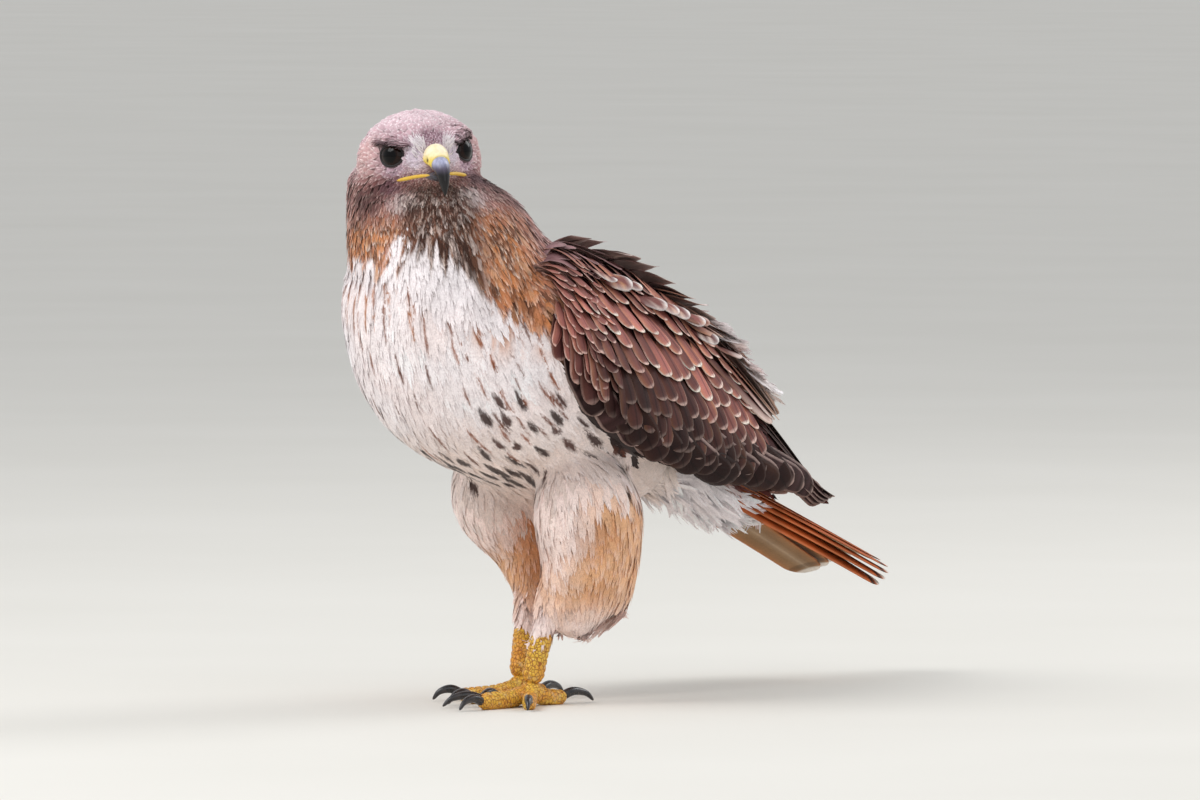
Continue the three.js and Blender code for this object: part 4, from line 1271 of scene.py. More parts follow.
def coat_hood(skin, name, roots, draw):
    """The head and neck: feathers grow longer away from the bill."""
    local = to_head(roots)
    keep = np.ones(len(roots), bool)
    near_eye = np.zeros(len(roots))
    for hand in (1, -1):
        _, away, angle = eye_polar(roots, hand)
        round_it = away < EYE_RADIUS + 5
        keep &= ~(round_it & (angle < OPENING + 0.17))
        near_eye = np.maximum(near_eye, bump(np.maximum(angle - OPENING, 0), 0, 0.35) * round_it)
    # nothing grows under the cere
    keep &= ~((local[:, 1] < -37) & (local[:, 2] > -8.5) & (np.abs(local[:, 0]) < 9))
    roots, local, near_eye = roots[keep], local[keep], near_eye[keep]
    count = len(roots)
    far = from_bill(roots)
    size = ramp(far, 5, 110)
    crown = ramp(local[:, 2], 2, 12) * ramp(far, 12, 30)
    beard = ramp(-local[:, 2], 12, 24) * ramp(-local[:, 1], 0, 20)
    length = varied(draw, count, mix(4.2, 19.0, size) * (1 + 0.12 * crown) * (1 + 0.3 * beard))
    length = length * (1 - 0.45 * near_eye)
    depth = mix(1.0, 2.8, ramp(far, 8, 95)) * (1 - 0.4 * near_eye) * (1 + 0.1 * crown)
    stems, normals = lay(skin, roots, length, varied(draw, count, depth, 0.1), draw, steps=4, sway=0.1)
    half = varied(draw, count, mix(mix(1.2, 3.6, size), 2.5, crown), 0.1)
    kit, form, material, slot = HOOD_PARTS[name]
    roll = 0.08 * draw.normal(size=count)
    plumes = Plumes(
        KITS[kit], stems, normals, half, draw, roll=roll, ragged=mix(0.7, 0.25, crown), camber=0.07,
    )
    base, edge, streak = hood_colour(stems[:, 3], draw)
    rim = mix(0.5, 0.62, crown)[:, None]
    colours = shaded(plumes, base, edge, draw, rim=rim, edging=0.95, tip=1.0, root=0.78, streak=streak)
    plumes.on_skin(unwrap(form, roots))
    colours = throat_streaks(plumes.points, colours)
    if name == "neck":
        # white below the hood's streaked border, as the breast is
        flat = plumes.points.reshape(-1, 3)
        pale = flat_colour(flat, "body", hooded=False)[1]
        colours = paint(colours.reshape(-1, 3), pale, breast_share(flat)).reshape(colours.shape)
    groups = [(plumes, colours)]
    if name == "head":
        groups += [brow_feathers(draw), bristles(skin, draw)]
    add_plumes("coat_" + name, groups, material, slot, soft=0.6)


def throat_streaks(points, colours):
    """Fine dark and pale streaks that run on from feather to feather down the throat and over the cheeks."""
    p = points.reshape(-1, 3)
    local = to_head(p)
    across = np.abs(local[:, 0])
    fine, broad = flow_noise(p, 1.5, 22, 41), flow_noise(p, 4.0, 30, 42)
    hood = 1 - breast_share(p)
    beard = ramp(-local[:, 1], 0, 18) * ramp(-local[:, 2], 11, 18) * ramp(-across, -24, -12) * hood
    cheek = ramp(-local[:, 2], 6, 14) * hood * (1 - beard)
    dark = 0.9 * beard * ramp(fine + 0.5 * broad, -0.3, 0.3)
    dark = dark + 0.5 * cheek * ramp(fine + 0.3 * broad, 0.4, 0.9)
    pale = 0.5 * beard * ramp(-fine - 0.2 * broad, 0.5, 0.9) + 0.25 * cheek * ramp(-fine, 0.6, 1.0)
    flat = paint(colours.reshape(-1, 3), "#3b241b", dark)
    return paint(flat, "#e9d6c9", pale).reshape(colours.shape)


def brow_feathers(draw):
    """Overlapping feathers along each brow that shade the top of the eye, the lowest row painted dark as the
    brow's shadow and pale above.
    """
    stems, rows = [], []
    v = np.linspace(0, 1, 6)[:, None]
    for hand in (1, -1):
        line = spline(mirrored(BROW, hand), np.linspace(0, 1, 40))[:, :3]
        outward = unit(np.array([hand * 0.75, -0.65, 0.0]))
        for row, (count, out, drop, length) in enumerate(BROW_ROWS):
            for share in (np.arange(count) + 0.3 * draw.random(count)) / count:
                at = share * 30
                i = int(at)
                ahead = unit(line[i + 6] - line[i])
                start = mix(line[i], line[i + 1], at - i)
                stem = start + ahead * length * v + outward * (1.4 + out * v) + DOWN * drop * (0.35 + v**1.5)
                stems.append(from_head(stem + draw.normal(size=3) * 0.15))
                rows.append(row)
    stems, rows = np.array(stems), np.array(rows)
    up = unit(np.array([0, 0, 1.0]) + 0.6 * unit(stems.mean(axis=1) - HEAD_CENTRE))
    normals = np.repeat(up[:, None], stems.shape[1], axis=1)
    count = len(stems)
    half = varied(draw, count, 1.3, 0.15)
    plumes = Plumes(KITS["soft"], stems, normals, half, draw, ragged=0.5, roll=0.2 * draw.normal(size=count))
    base, edge = (np.array([rgb(tints[k]) for tints in BROW_TINTS])[rows] for k in (0, 1))
    colours = shaded(plumes, base, edge, draw, rim=0.5, edging=0.8, root=0.85)
    plumes.on_skin(unwrap("head", stems[:, 0]))
    return plumes, colours


def bristles(skin, draw):
    """White bristly feathers that stand up between the cere and the brows."""
    count = BRISTLES
    hand = np.where(np.arange(count) % 2 == 0, 1.0, -1.0)
    reach = draw.random(count)
    back, rise = -39 + 7 * reach + draw.normal(size=count), 7.5 + 2.6 * draw.normal(size=count)
    roots, normal, _ = skin.nearest(from_head(np.stack([hand * (5.5 + 5 * reach), back, rise], axis=1)))
    aside, behind = hand * (0.55 + 0.4 * draw.normal(size=count)), 0.2 + 0.3 * draw.normal(size=count)
    way = unit(np.stack([aside, behind, np.ones(count)], axis=1))
    way = unit(skin.tangent(way @ HEAD_AXES.T, normal))
    length = varied(draw, count, 8.0, 0.3)[:, None, None]
    v = np.linspace(0, 1, 6)[None, :, None]
    lift = 0.6 + 2.4 * v + 1.2 * draw.normal(size=(count, 1, 1)) * v**2
    stems = roots[:, None] + way[:, None] * length * v + normal[:, None] * lift
    normals = np.repeat(normal[:, None], 6, axis=1)
    plumes = Plumes(KITS["hair"], stems, normals, varied(draw, count, 0.24), draw, ragged=0.5)
    colours = shaded(plumes, fill("#e6d8dd", count), fill("#ffffff", count), draw, rim=0.6, root=0.85)
    plumes.on_skin(unwrap("head", roots))
    return plumes, colours


# Marks: length, half width, where along they are fullest, colours
STREAKS = {"length": 22, "half": 0.75, "fullest": 0.6, "tints": ("#9a5228", "#5f3220")}
FRINGE = {"length": 30, "half": 0.8, "fullest": 0.2, "tints": ("#c07a4a", "#7d452c")}
DROPS = {"length": 17, "half": 2.2, "fullest": 0.7, "tints": ("#2e1c19", "#54322a")}
BAND = {"length": 22, "half": 2.3, "fullest": 0.6, "tints": ("#251817", "#3c2622")}
THIGH_DROPS = {"length": 14, "half": 2.2, "fullest": 0.7, "tints": ("#2e1c19", "#7a4028")}


def hood_fringe(points, colours):
    """The hood's streaked lower border and the rusty patch below it, drawn over the feathers they cross."""
    p = points.reshape(-1, 3)
    _, side, back = body_coords(p)
    flat = colours.reshape(-1, 3)
    rust = ramp(side, 0.6, 0.85) * ramp(p[:, 2], 200, 222) * ramp(-p[:, 2], -268, -252)
    flat = paint(flat, "#cf8e64", 0.75 * rust * np.clip(1.6 * flow_noise(p, 3.5, 45, 51) + 0.15, 0, 1))
    hood = (1 - breast_share(p)) * ramp(-back, -0.6, -0.3) * ramp(p[:, 2], 195, 215)
    return paint(flat, hood_colour(p)[0], hood).reshape(colours.shape)


def coat_front(skin, name, roots, draw):
    """The breast or belly: long silky feathers, with marks over them."""
    count = len(roots)
    length, depth = varied(draw, count, 36.0, 0.1), varied(draw, count, 2.4, 0.05)
    stems, normals = lay(skin, roots, length, depth, draw, steps=6, loose=0.05, sway=0.05)
    half = varied(draw, count, 6.2, 0.1)
    roll = 0.02 * draw.normal(size=count)
    plumes = Plumes(KITS["silk"], stems, normals, half, draw, roll=roll, **SLEEK)
    base, edge = flat_colour(stems[:, 4], "body", draw, hooded=False)
    colours = shaded(plumes, base, edge, draw, rim=0.6, edging=0.5, root=0.98, vary=0.02)
    colours = draw_marks(plumes.points, hood_fringe(plumes.points, colours), front_marks(skin))
    plumes.on_skin(unwrap("body", roots))
    add_plumes("coat_" + name, [(plumes, colours)], "breast", "breast_feathers", soft=1.0)


def front_marks(skin):
    """The marks of the breast and belly."""
    places, kinds = skin.quad_places()
    share, side, back = body_coords(places)
    z = places[:, 2]
    body = kinds == "body"
    front = body & (back < 0.35) & (z > 150) & (z < 268)
    # few down the middle, more at the sides and high up
    middle = front & (side > -0.75) & (side < 0.6)
    sides = front & ~middle & (share < 0.6)
    fringe = body & (back < 0.35) & (z > 238) & (z < 272)
    flank = body & (back < 0.3) & (share > 0.5) & (share < 0.8) & (np.abs(side) > 0.5) & (z < 192)
    band = body & (back < -0.3) & (share > 0.57) & (share < 0.68) & (np.abs(side) < 0.5)
    return [
        mark_lines(skin, middle, 19, 61, STREAKS), mark_lines(skin, sides, 10.5, 62, STREAKS),
        mark_lines(skin, fringe, 9, 67, FRINGE), mark_lines(skin, flank, 12.5, 63, DROPS),
        mark_lines(skin, band, 11, 64, BAND),
    ]


def flat_plumes(skin, roots, draw, length, depth, half, form, **look):
    """Smooth feathers that cover the back or a wing close to the skin."""
    count = len(roots)
    length, depth = varied(draw, count, length), varied(draw, count, depth, 0.1)
    stems, normals = lay(skin, roots, length, depth, draw, steps=5, sway=0.08)
    plumes = Plumes(KITS["long"], stems, normals, varied(draw, count, half), draw, **SLEEK)
    base, edge = flat_colour(stems[:, 3], kind_of(form), draw)
    colours = shaded(plumes, base, edge, draw, root=0.7, **look)
    plumes.on_skin(unwrap(form, roots))
    return plumes, colours


def coat_back(skin, name, roots, draw):
    group = flat_plumes(skin, roots, draw, 26.0, 3.2, 4.6, "body", rim=0.7, edging=0.7, vary=0.06)
    add_plumes("coat_" + name, [group], "neck", "neck_feathers", soft=0.8)


def coat_rump(skin, name, roots, draw):
    """The rump's feathers, which stand out more and sag under the tail."""
    count = len(roots)
    under = ramp(-skin.nearest(roots)[1][:, 2], -0.1, 0.4)
    length, depth = varied(draw, count, 30.0), varied(draw, count, mix(4.0, 7.0, under), 0.25)
    stems, normals = lay(skin, roots, length, depth, draw, steps=4, loose=0.3)
    stems[..., 2] -= (5.0 * under * ramp(-roots[:, 1], -190, -150))[:, None] * np.linspace(0, 1, 5) ** 2
    plumes = Plumes(KITS["long"], stems, normals, varied(draw, count, 6.0), draw, ragged=1.2, camber=0.06)
    base, edge = flat_colour(stems[:, 3], "rump", draw)
    colours = shaded(plumes, base, edge, draw, rim=0.7, edging=0.6)
    plumes.on_skin(unwrap("rump", roots))
    add_plumes("coat_" + name, [(plumes, colours)], "tail", "tail_feathers")


def coat_leg(skin, name, roots, draw):
    """A leg's feathers: long over the thigh, shaggy behind it, and short down the upper tarsus."""
    side = name.split("_")[1]
    count = len(roots)
    z = roots[:, 2]
    kinds = FORM_KINDS[skin.labels(roots)]
    thin = kinds == "tarsus"
    long = np.where(thin, 13.0, mix(26.0, 30.0, ramp(z, 60, 120)))
    depth = np.where(thin, 2.2, 2.8)
    rear = ramp(skin.nearest(roots)[1][:, 1], 0.0, 0.8) * ramp(-z, -110, -60) * ~thin
    length = varied(draw, count, long, 0.1) * (1 + 0.3 * rear)
    loose = mix(0.08, 0.45, rear)[:, None]
    depth = varied(draw, count, depth, 0.06) * (1 + 0.3 * rear)
    stems, normals = lay(skin, roots, length, depth, draw, steps=6, loose=loose, sway=0.07)
    backwards = np.zeros_like(stems)
    backwards[..., 1] = 6 * rear[:, None] * ramp(np.linspace(0, 1, 7), 0, 1) ** 2
    stems = stems + backwards
    # nothing hangs below the feathered part of the leg
    floor = BARE_BELOW - 6 + 5 * draw.random((count, 1))
    stems[..., 2] = np.maximum(stems[..., 2], floor)
    half = np.where(thin, 2.6, varied(draw, count, 5.4, 0.1))
    roll = 0.03 * draw.normal(size=count)
    shape = dict(SLEEK, ragged=mix(0.8, 1.4, rear))
    plumes = Plumes(KITS["silk"], stems, normals, half, draw, roll=roll, **shape)
    base, edge = flat_colour(stems[:, 4], kinds, draw)
    colours = shaded(plumes, base, edge, draw, edging=0.6, root=0.96, vary=0.03)
    plumes.on_skin(unwrap("thigh_" + side, roots))
    # drops high up on the outer side
    places, kinds = skin.quad_places()
    hand = LEGS[side]["hand"]
    upper = (kinds == "thigh") & (places[:, 0] * hand > 45) & (places[:, 2] > 120)
    upper &= places[:, 1] > LEGS[side]["back"] + 6
    marks = mark_lines(skin, upper, 10.5, 65 if hand > 0 else 66, THIGH_DROPS)
    colours = draw_marks(plumes.points, colours, [marks])
    add_plumes("coat_" + name, [(plumes, colours)], "leg", "leg_feathers", soft=0.95)


def coat_wing(skin, name, roots, draw):
    """Small coverts under the rows of larger ones, on the wrist and along the wing's edges."""
    for side, chosen in (("left", roots[:, 0] > 0), ("right", roots[:, 0] <= 0)):
        here = roots[chosen]
        form = f"{name}_{side}"
        share, angle, _ = FORMS[form].coords(here)
        # none along the lower edge, where those of the breast and flank lie over it
        upper = np.abs(angle) / np.pi < mix(0.76, 0.9, ramp(share, 0.2, 0.4))
        length = mix(14.0, 24.0, ramp(share[upper], 0.0, 0.1))
        group = flat_plumes(skin, here[upper], draw, length, 2.4, 4.2, form, rim=0.75, edging=0.6)
        add_plumes("coat_" + form, [group], "wing", "wing_feathers", soft=0.8)


COATS = {
    "head": coat_hood, "neck": coat_hood, "breast": coat_front, "belly": coat_front, "back": coat_back,
    "rump": coat_rump, "leg_left": coat_leg, "leg_right": coat_leg, "wing": coat_wing,
}


# Wing and tail feathers

# Primaries, secondaries, lower and upper tertials: count, first and last root, first and last tip, half width
# of the first and last, how high the tip stands, kind. Places are shares of the way along the wing and from
# its upper edge to the lower.
WING_ROWS = [
    (7, (0.62, 0.34), (0.70, 0.72), (1.0, 0.30), (0.90, 0.86), (8.5, 8), 1.4, "flight"),
    (13, (0.08, 0.80), (0.58, 0.66), (0.20, 0.97), (0.84, 0.82), (8, 9), 1.4, "flight"),
    (4, (0.42, 0.36), (0.50, 0.12), (0.68, 0.48), (0.76, 0.26), (11, 12), 4.6, "loose"),
    (4, (0.50, 0.26), (0.46, 0.05), (0.73, 0.34), (0.79, 0.10), (11, 12), 5.4, "loose"),
]
# Coverts: kind, share across of the first and last row's tips, rows, reach of the tips along the wing,
# spacing, length, half width, angles from the wing's length towards its lower edge in front and behind,
# height of the tips
COVERT_FIELDS = [
    ("dark", (0.92, 0.92), 1, (22, 300), 16, 46, 9.5, (46, 10), 2.6),
    ("covert", (0.85, 0.34), 7, (48, 262), 14, 32, 9.0, (64, 54), 3.9),
    ("shoulder", (0.86, 0.36), 9, (15, 66), 9.0, 18, 6.2, (58, 56), 4.0),
    ("loose", (0.30, 0.12), 2, (190, 250), 17, 40, 11.0, (18, 8), 6.4),
    ("scapular", (0.36, 0.17), 2, (84, 206), 17, 36, 11.5, (34, 14), 5.8),
    ("mantle", (0.31, 0.15), 3, (46, 128), 13, 34, 8.0, (26, 14), 1.6),
]
# Where a vane has points across and along
VANE_COLUMNS = (-1, -0.8, -0.45, -0.15, 0, 0.15, 0.45, 0.8, 1)
SMALL_ROWS = (0, 0.12, 0.26, 0.4, 0.53, 0.65, 0.76, 0.85, 0.92, 0.97, 1)
LARGE_ROWS = (*np.linspace(0, 0.9, 13), 0.94, 0.97, 1)
TAIL_COLUMNS = (-1, -0.93, -0.7, -0.4, -0.12, 0, 0.12, 0.4, 0.7, 0.93, 1)
TAIL_ROWS = (*np.linspace(0, 0.88, 23), *np.linspace(0.895, 1, 12))
# How many feathers of a wing lie side by side in its unwrap, and how many downy ones the left wing's edge has
CELLS_ACROSS = 24
DOWN_FEATHERS = 70


def on_wing(form, at, stand):
    """Places on a wing's face and the way out of it, by share along and across."""
    share, across = at[..., 0], at[..., 1]
    p = form.at(share, across * np.pi, stand, ends=False)
    return p, unit(form.at(share, across * np.pi, stand + 3, ends=False) - p)


def row_stems(form, row, draw, steps=8):
    """Stems side by side between the first and last of a row."""
    count, *ends, _, raise_by, kind = row
    part = np.linspace(0, 1, count)[:, None]
    first_root, last_root, first_tip, last_tip = np.array(ends)
    root, tip = mix(first_root, last_root, part), mix(first_tip, last_tip, part)
    shake = 0.35 if kind != "flight" else 0.12
    root = root + draw.normal(size=root.shape) * (0.010, 0.012) * shake
    tip = tip + draw.normal(size=tip.shape) * (0.018, 0.022) * shake
    v = np.linspace(0, 1, steps + 1)
    at = mix(root[:, None], tip[:, None], v[None, :, None])
    stand = mix(-2.0, raise_by + 0.5 * draw.normal(size=(count, 1)) * shake, v[None] ** 0.75)
    return on_wing(form, at, stand)


def covert_stems(form, field, hand, draw, steps=8):
    """Stems whose tips stand in staggered rows over the wing, each marched back from its tip."""
    kind, (first, last), rows, (near, far), spacing, length, half, (front, behind), top = field
    # the upper feathers of the right wing lie close, and keep below its edge
    if hand < 0:
        top, last = min(top, 2.2), max(last, 0.3)
    share = np.linspace(0, 1, 200)
    line = on_wing(form, np.stack([share, np.full(200, 0.6)], axis=1), 0.0)[0]
    reach = np.concatenate([[0], np.cumsum(np.linalg.norm(np.diff(line, axis=0), axis=1))])
    tips = []
    for row in range(rows):
        across = first if rows == 1 else mix(first, last, row / (rows - 1))
        for place in np.arange(near + spacing / 2 * (row % 2), far, spacing):
            along = np.interp(place + 1.5 * draw.normal(), reach, share)
            tips.append((along, across + 0.012 * draw.normal(), place))
    tips = np.array(tips)
    count = len(tips)
    angle = np.radians(mix(front, behind, ramp(tips[:, 2], 30, 230)) + 6 * draw.normal(size=count))
    # those near the wrist are shorter and narrower
    room = np.minimum(1, (2 + 0.95 * tips[:, 2]) / length)
    stride = varied(draw, count, length / steps * room, 0.07)
    here, path = tips[:, :2].copy(), [tips[:, :2]]
    small = 0.004
    for _ in range(steps):
        p = on_wing(form, here, 0.0)[0]
        along = (on_wing(form, here + (small, 0), 0.0)[0] - p) / small
        down = (on_wing(form, here + (0, small), 0.0)[0] - p) / small
        size = np.linalg.norm(along, axis=1)
        lean = dot(down, along)[:, 0] / size
        drop = np.linalg.norm(down - along * (lean / size)[:, None], axis=1)
        back = -np.sin(angle) * stride / drop
        here = here + np.stack([(-np.cos(angle) * stride - lean * back) / size, back], axis=1)
        here = np.clip(here, (0.0, 0.03), (1.0, 1.0))
        path.append(here)
    at = np.stack(path[::-1], axis=1)
    v = np.linspace(0, 1, steps + 1)[None]
    stand = mix(-1.5, top + 0.25 * draw.normal(size=(count, 1)), v**0.85)
    if kind in ("loose", "scapular"):
        raised = np.abs(draw.normal(size=(count, 1))) * 1.8 * v**3
        stand = stand + raised * (hand > 0)
    return *on_wing(form, at, stand), tips, half * np.sqrt(room)


# How warm, how dark and how broadly edged a covert of each kind is
COVERT_LOOKS = {
    "shoulder": (0.4, 0.1, 0.65), "dark": (0.25, 0.9, 0.35), "covert": (1, 0, 1), "loose": (1, 0, 1),
}


def wing_tints(kind, plumes, count, draw):
    """Each point's colour on a wing's feathers, by their kind."""
    v, x = plumes.v, np.abs(plumes.x)
    deep = np.clip(draw.random((count, 1)) + 0.4 * noise(plumes.points[:, -1], 22, 71)[:, None], 0, 1)
    base = blend(WING_MID, WING_DARK, mix(0.1, 0.9, deep[:, 0]))
    colours = np.repeat(base[:, None], v.shape[1], axis=1)
    if kind == "flight":
        colours = paint(colours, "#170c0d", 0.92)
        bars = ramp(np.sin(v * 44 + draw.random((count, 1))), 0.4, 0.9) * ramp(v, 0.2, 0.4)
        colours = paint(colours, "#55393a", 0.5 * bars)
        colours = paint(colours, WING_EDGE, np.maximum(ramp(x, 0.9, 1.0) * 0.5, ramp(v, 0.96, 1.0) * 0.75))
    elif kind == "mantle":
        rear = ramp(plumes.points[:, -1, 1], -30, 50) + 0.2 * draw.normal(size=count)
        colours = np.repeat(blend(MANTLE, "#6e4644", rear)[:, None], v.shape[1], axis=1)
        colours = paint(colours, "#6c4644", 0.5 * ramp(-x, -0.5, 0.0))
        colours = paint(colours, MANTLE_EDGE, np.maximum(ramp(x, 0.75, 1.0) * 0.5, ramp(v, 0.9, 1.0) * 0.8))
    elif kind == "scapular":
        bars = ramp(np.sin(v * 26 + 6 * draw.random((count, 1)) - 1.5 * x), 0.0, 0.7) * ramp(x, 0.15, 0.5)
        pale = blend("#f0dfd4", "#c98f68", draw.random(count))
        colours = paint(colours, pale[:, None], bars * ramp(v, 0.35, 0.6) * 0.9)
        edge = np.maximum(ramp(x, 0.74, 0.92) * ramp(v, 0.4, 0.6), ramp(v, 0.9, 0.96))
        colours = paint(colours, "#fbf2ee", edge * 0.95)
    else:
        warmth, darkness, breadth = COVERT_LOOKS[kind]
        warm = blend("#a9705c", "#c98a62", draw.random(count))
        colours = paint(colours, WING_DARK, darkness)
        colours = paint(colours, warm[:, None], ramp(x, 0.3, 0.95) * mix(0.9, 0.2, deep) * warmth)
        breadth = breadth * mix(0.65, 1.0, draw.random((count, 1)))
        edge = np.maximum(ramp(x, 0.8, 0.97) * mix(0.25, 1.0, ramp(v, 0.6, 0.92)), ramp(v, 0.91, 0.985))
        colours = paint(colours, WING_EDGE, edge * breadth)
        colours = paint(colours, "#2a1715", 0.6 * ramp(-x, -0.14, -0.02))
    if kind == "loose":
        pale = ramp(v, 0.5, 0.9) * ramp(x, 0.1, 0.7) * (draw.random((count, 1)) < 0.8)
        fringe = blend("#f6ebe8", "#cf9f80", draw.random(count))
        colours = paint(colours, fringe[:, None], pale * 0.95)
    # lower faces greyer; those of the mantle and scapulars paler, painted light against the shade they lie in
    under = "#d3b7b0" if kind in ("mantle", "scapular") else "#9d8f88"
    colours = np.where(plumes.kit.lower[None, :, None], paint(colours, under, 0.6), colours)
    # painted shade towards the root, where the next row lies over it
    shade = mix(0.7, 1.0, ramp(v, 0.2, 0.75)) * (1 + 0.06 * draw.normal(size=(count, 1)))
    return colours * shade[..., None]


def wing_fluff(form, draw):
    """White downy feathers that stand out along the wing's upper edge."""
    count = DOWN_FEATHERS
    share, across = draw.uniform(0.53, 0.68, count), draw.uniform(0.03, 0.30, count)
    v = np.linspace(0, 1, 6)[None]
    turn = 0.05 * draw.normal(size=(count, 1))
    at = np.stack([share[:, None] + 0.07 * v, across[:, None] + turn * v], axis=-1)
    stems, normals = on_wing(form, at, 6.0 + varied(draw, count, 7.5, 0.35)[:, None] * v)
    roll = 0.25 * draw.normal(size=count)
    half = varied(draw, count, 8.0)
    plumes = Plumes(KITS["silk"], stems, normals, half, draw, ragged=1.0, camber=-0.12, roll=roll)
    base = blend("#fdf6f5", "#d9b8ae", 0.4 * draw.random(count) ** 2)
    return plumes, shaded(plumes, base, fill(WHITE, count), draw, rim=0.6)


def flight_outline(v):
    return vane_outline(v, 0.4, 0.8, 2.0)


def tail_outline(v):
    return vane_outline(v, 0.5, 0.9, 2.4)


def covert_shade(tips):
    """How bright coverts are: with a painted shadow where the mantle and scapulars lie over them, and dark
    along the wing's lower edge.
    """
    share, across = tips[:, 0], tips[:, 1]
    # painted shadow under the mantle and scapulars
    mantle_shadow = ramp(-across, -0.5, -0.38) * ramp(-share, -0.6, -0.45)
    low = ramp(across, 0.56, 0.76) * ramp(-share, -0.9, -0.7) * ramp(share, 0.1, 0.24)
    return (1.75 - 0.35 * mantle_shadow) * (1 - 0.84 * low)


def build_wing(side, hand):
    """All separate feathers of a wing, each row over the one before."""
    form = FORMS["wing_" + side]
    draw = np.random.default_rng(40 if hand > 0 else 41)
    small, large = vane_kit(VANE_COLUMNS, SMALL_ROWS, 0.35), vane_kit(VANE_COLUMNS, LARGE_ROWS, 0.45)
    sets = []
    for row in WING_ROWS:
        count, *_, half, _, kind = row
        sets.append((kind, *row_stems(form, row, draw), None, mix(*half, np.linspace(0, 1, count))))
    for field in COVERT_FIELDS:
        sets.append((field[0], *covert_stems(form, field, hand, draw)))
    groups = []
    for kind, stems, normals, tips, half in sets:
        count = len(stems)
        roll = hand * math.radians(-4 if kind == "mantle" else 7) + 0.05 * draw.normal(size=count)
        curl = np.abs(draw.normal(size=count)) * {"loose": 2.5, "scapular": 2.0}.get(kind, 0.4)
        kit = large if kind in ("flight", "loose") else small
        outline = flight_outline if kind == "flight" else vane_outline
        half = varied(draw, count, half, 0.07)
        plumes = Plumes(kit, stems, normals, half, draw, roll=roll, camber=0.2, curl=curl, outline=outline)
        colours = wing_tints(kind, plumes, count, draw)
        if kind in ("covert", "shoulder", "dark"):
            colours = colours * covert_shade(tips)[:, None, None]
        groups.append((plumes, colours))
    if hand > 0:
        groups.append(wing_fluff(form, draw))
    total, cell = sum(plumes.count for plumes, _ in groups), 0
    for plumes, _ in groups:
        row, column = np.divmod(np.arange(cell, cell + plumes.count), CELLS_ACROSS)
        plumes.in_cells(np.stack([column, row], axis=1), CELLS_ACROSS, total // CELLS_ACROSS + 1)
        cell += plumes.count
    add_plumes("vanes_wing_" + side, groups, "wing", "wing_feathers", ("wing_" + side,))


def build_tail():
    """Twelve tail feathers: red above, duller below, with a dark bar before the pale tips."""
    draw = np.random.default_rng(50)
    v = np.linspace(0, 1, 13)
    stems, normals, rolls, cells = [], [], [], []
    for hand in (1, -1):
        for order, (root, tip, roll) in enumerate(RECTRICES):
            drop = 0 if hand > 0 else TAIL_DROP
            ends = [np.array([hand * x, y, z - drop - hand * TAIL_LEAN * x]) for x, y, z in (root, tip)]
            line = mix(ends[0], ends[1], v[:, None])
            line[:, 2] += 0.5 * np.sin(np.pi * v) * (1 + 0.3 * order)
            stems.append(line)
            normals.append(np.tile(unit(np.array([TAIL_LEAN, 0.35, 1])), (len(v), 1)))
            rolls.append(-hand * np.radians(mix(roll[0], roll[1], v)))
            cells.append((order + (6 if hand < 0 else 0), 0))
    count = len(stems)
    stems, normals, rolls = np.array(stems), np.array(normals), np.array(rolls)
    kit, half = vane_kit(TAIL_COLUMNS, TAIL_ROWS, 0.5), np.full(count, RECTRIX_HALF)
    plumes = Plumes(kit, stems, normals, half, draw, roll=rolls, camber=0.12, outline=tail_outline)
    plumes.in_cells(np.array(cells), count, 1)
    x, s = np.abs(plumes.x), plumes.v
    lower = plumes.kit.lower[None]
    # red with faint bars, a paler edge and a dark shaft
    bars = ramp(np.sin(s * 70 + 2), 0.6, 1.0) * ramp(x, 0.1, 0.5)
    top = paint(np.tile(rgb(TAIL_RED), (*s.shape, 1)), TAIL_BAR, 0.35 * bars)
    top = paint(top, "#d08a58", 0.35 * ramp(x, 0.6, 1.0))
    top = paint(top, TAIL_BAR, 0.4 * ramp(-x, -0.08, -0.02))
    under = paint(np.tile(rgb(TAIL_UNDER), (*s.shape, 1)), "#cdb59a", 0.5 * ramp(-x, -0.2, -0.02))
    # orange near the edges: painted light shining through the red vanes
    under = paint(under, "#c9824c", 0.6 * ramp(x, 0.55, 0.95))
    colours = np.where(lower[..., None], under, top)
    band = ramp(s, 0.925, 0.932) * ramp(-s, -0.958, -0.95)
    colours = paint(colours, TAIL_BAND, band * np.where(lower, 0.35, 0.92))
    colours = paint(colours, "#f0e4d8", ramp(s, 0.962, 0.975))
    add_plumes("vanes_tail", [(plumes, colours)], "tail", "tail_feathers", ("tail",))


# Eyes, bill and feet

def weld(obj):
    """Joins the points that meet at a form's ends."""
    made = bmesh.new()
    made.from_mesh(obj.data)
    bmesh.ops.remove_doubles(made, verts=made.verts, dist=1e-6)
    bmesh.ops.recalc_face_normals(made, faces=made.faces)
    made.to_mesh(obj.data)
    made.free()


# The lids' rim from inside out: how far past the opening, how high over the eyeball, colour
LID_DARK, LID_PALE = "#1a1213", "#6f5c62"
LID_PROFILE = [
    (-0.03, -0.5, LID_DARK), (-0.02, 0.2, LID_DARK), (0.01, 0.55, LID_DARK), (0.05, 0.7, LID_DARK),
    (0.11, 0.7, LID_PALE), (0.22, 0.45, LID_PALE), (0.36, -0.2, LID_PALE),
]
PUPIL, IRIS_EDGE = 0.43, 0.7


def eye_shell(hand, angle, turn, radius):
    """Points at an angle from the way an eye looks and a turn about it, at a radius from its centre."""
    axis = eye_axis(hand)
    side = unit(np.cross(axis, (0, 0, 1)))
    ring = side * np.cos(turn)[..., None] + np.cross(side, axis) * np.sin(turn)[..., None]
    p = axis * np.cos(angle)[..., None] + ring * np.sin(angle)[..., None]
    return from_head((p * np.asarray(radius)[..., None] + eye_centre(hand)).reshape(-1, 3))


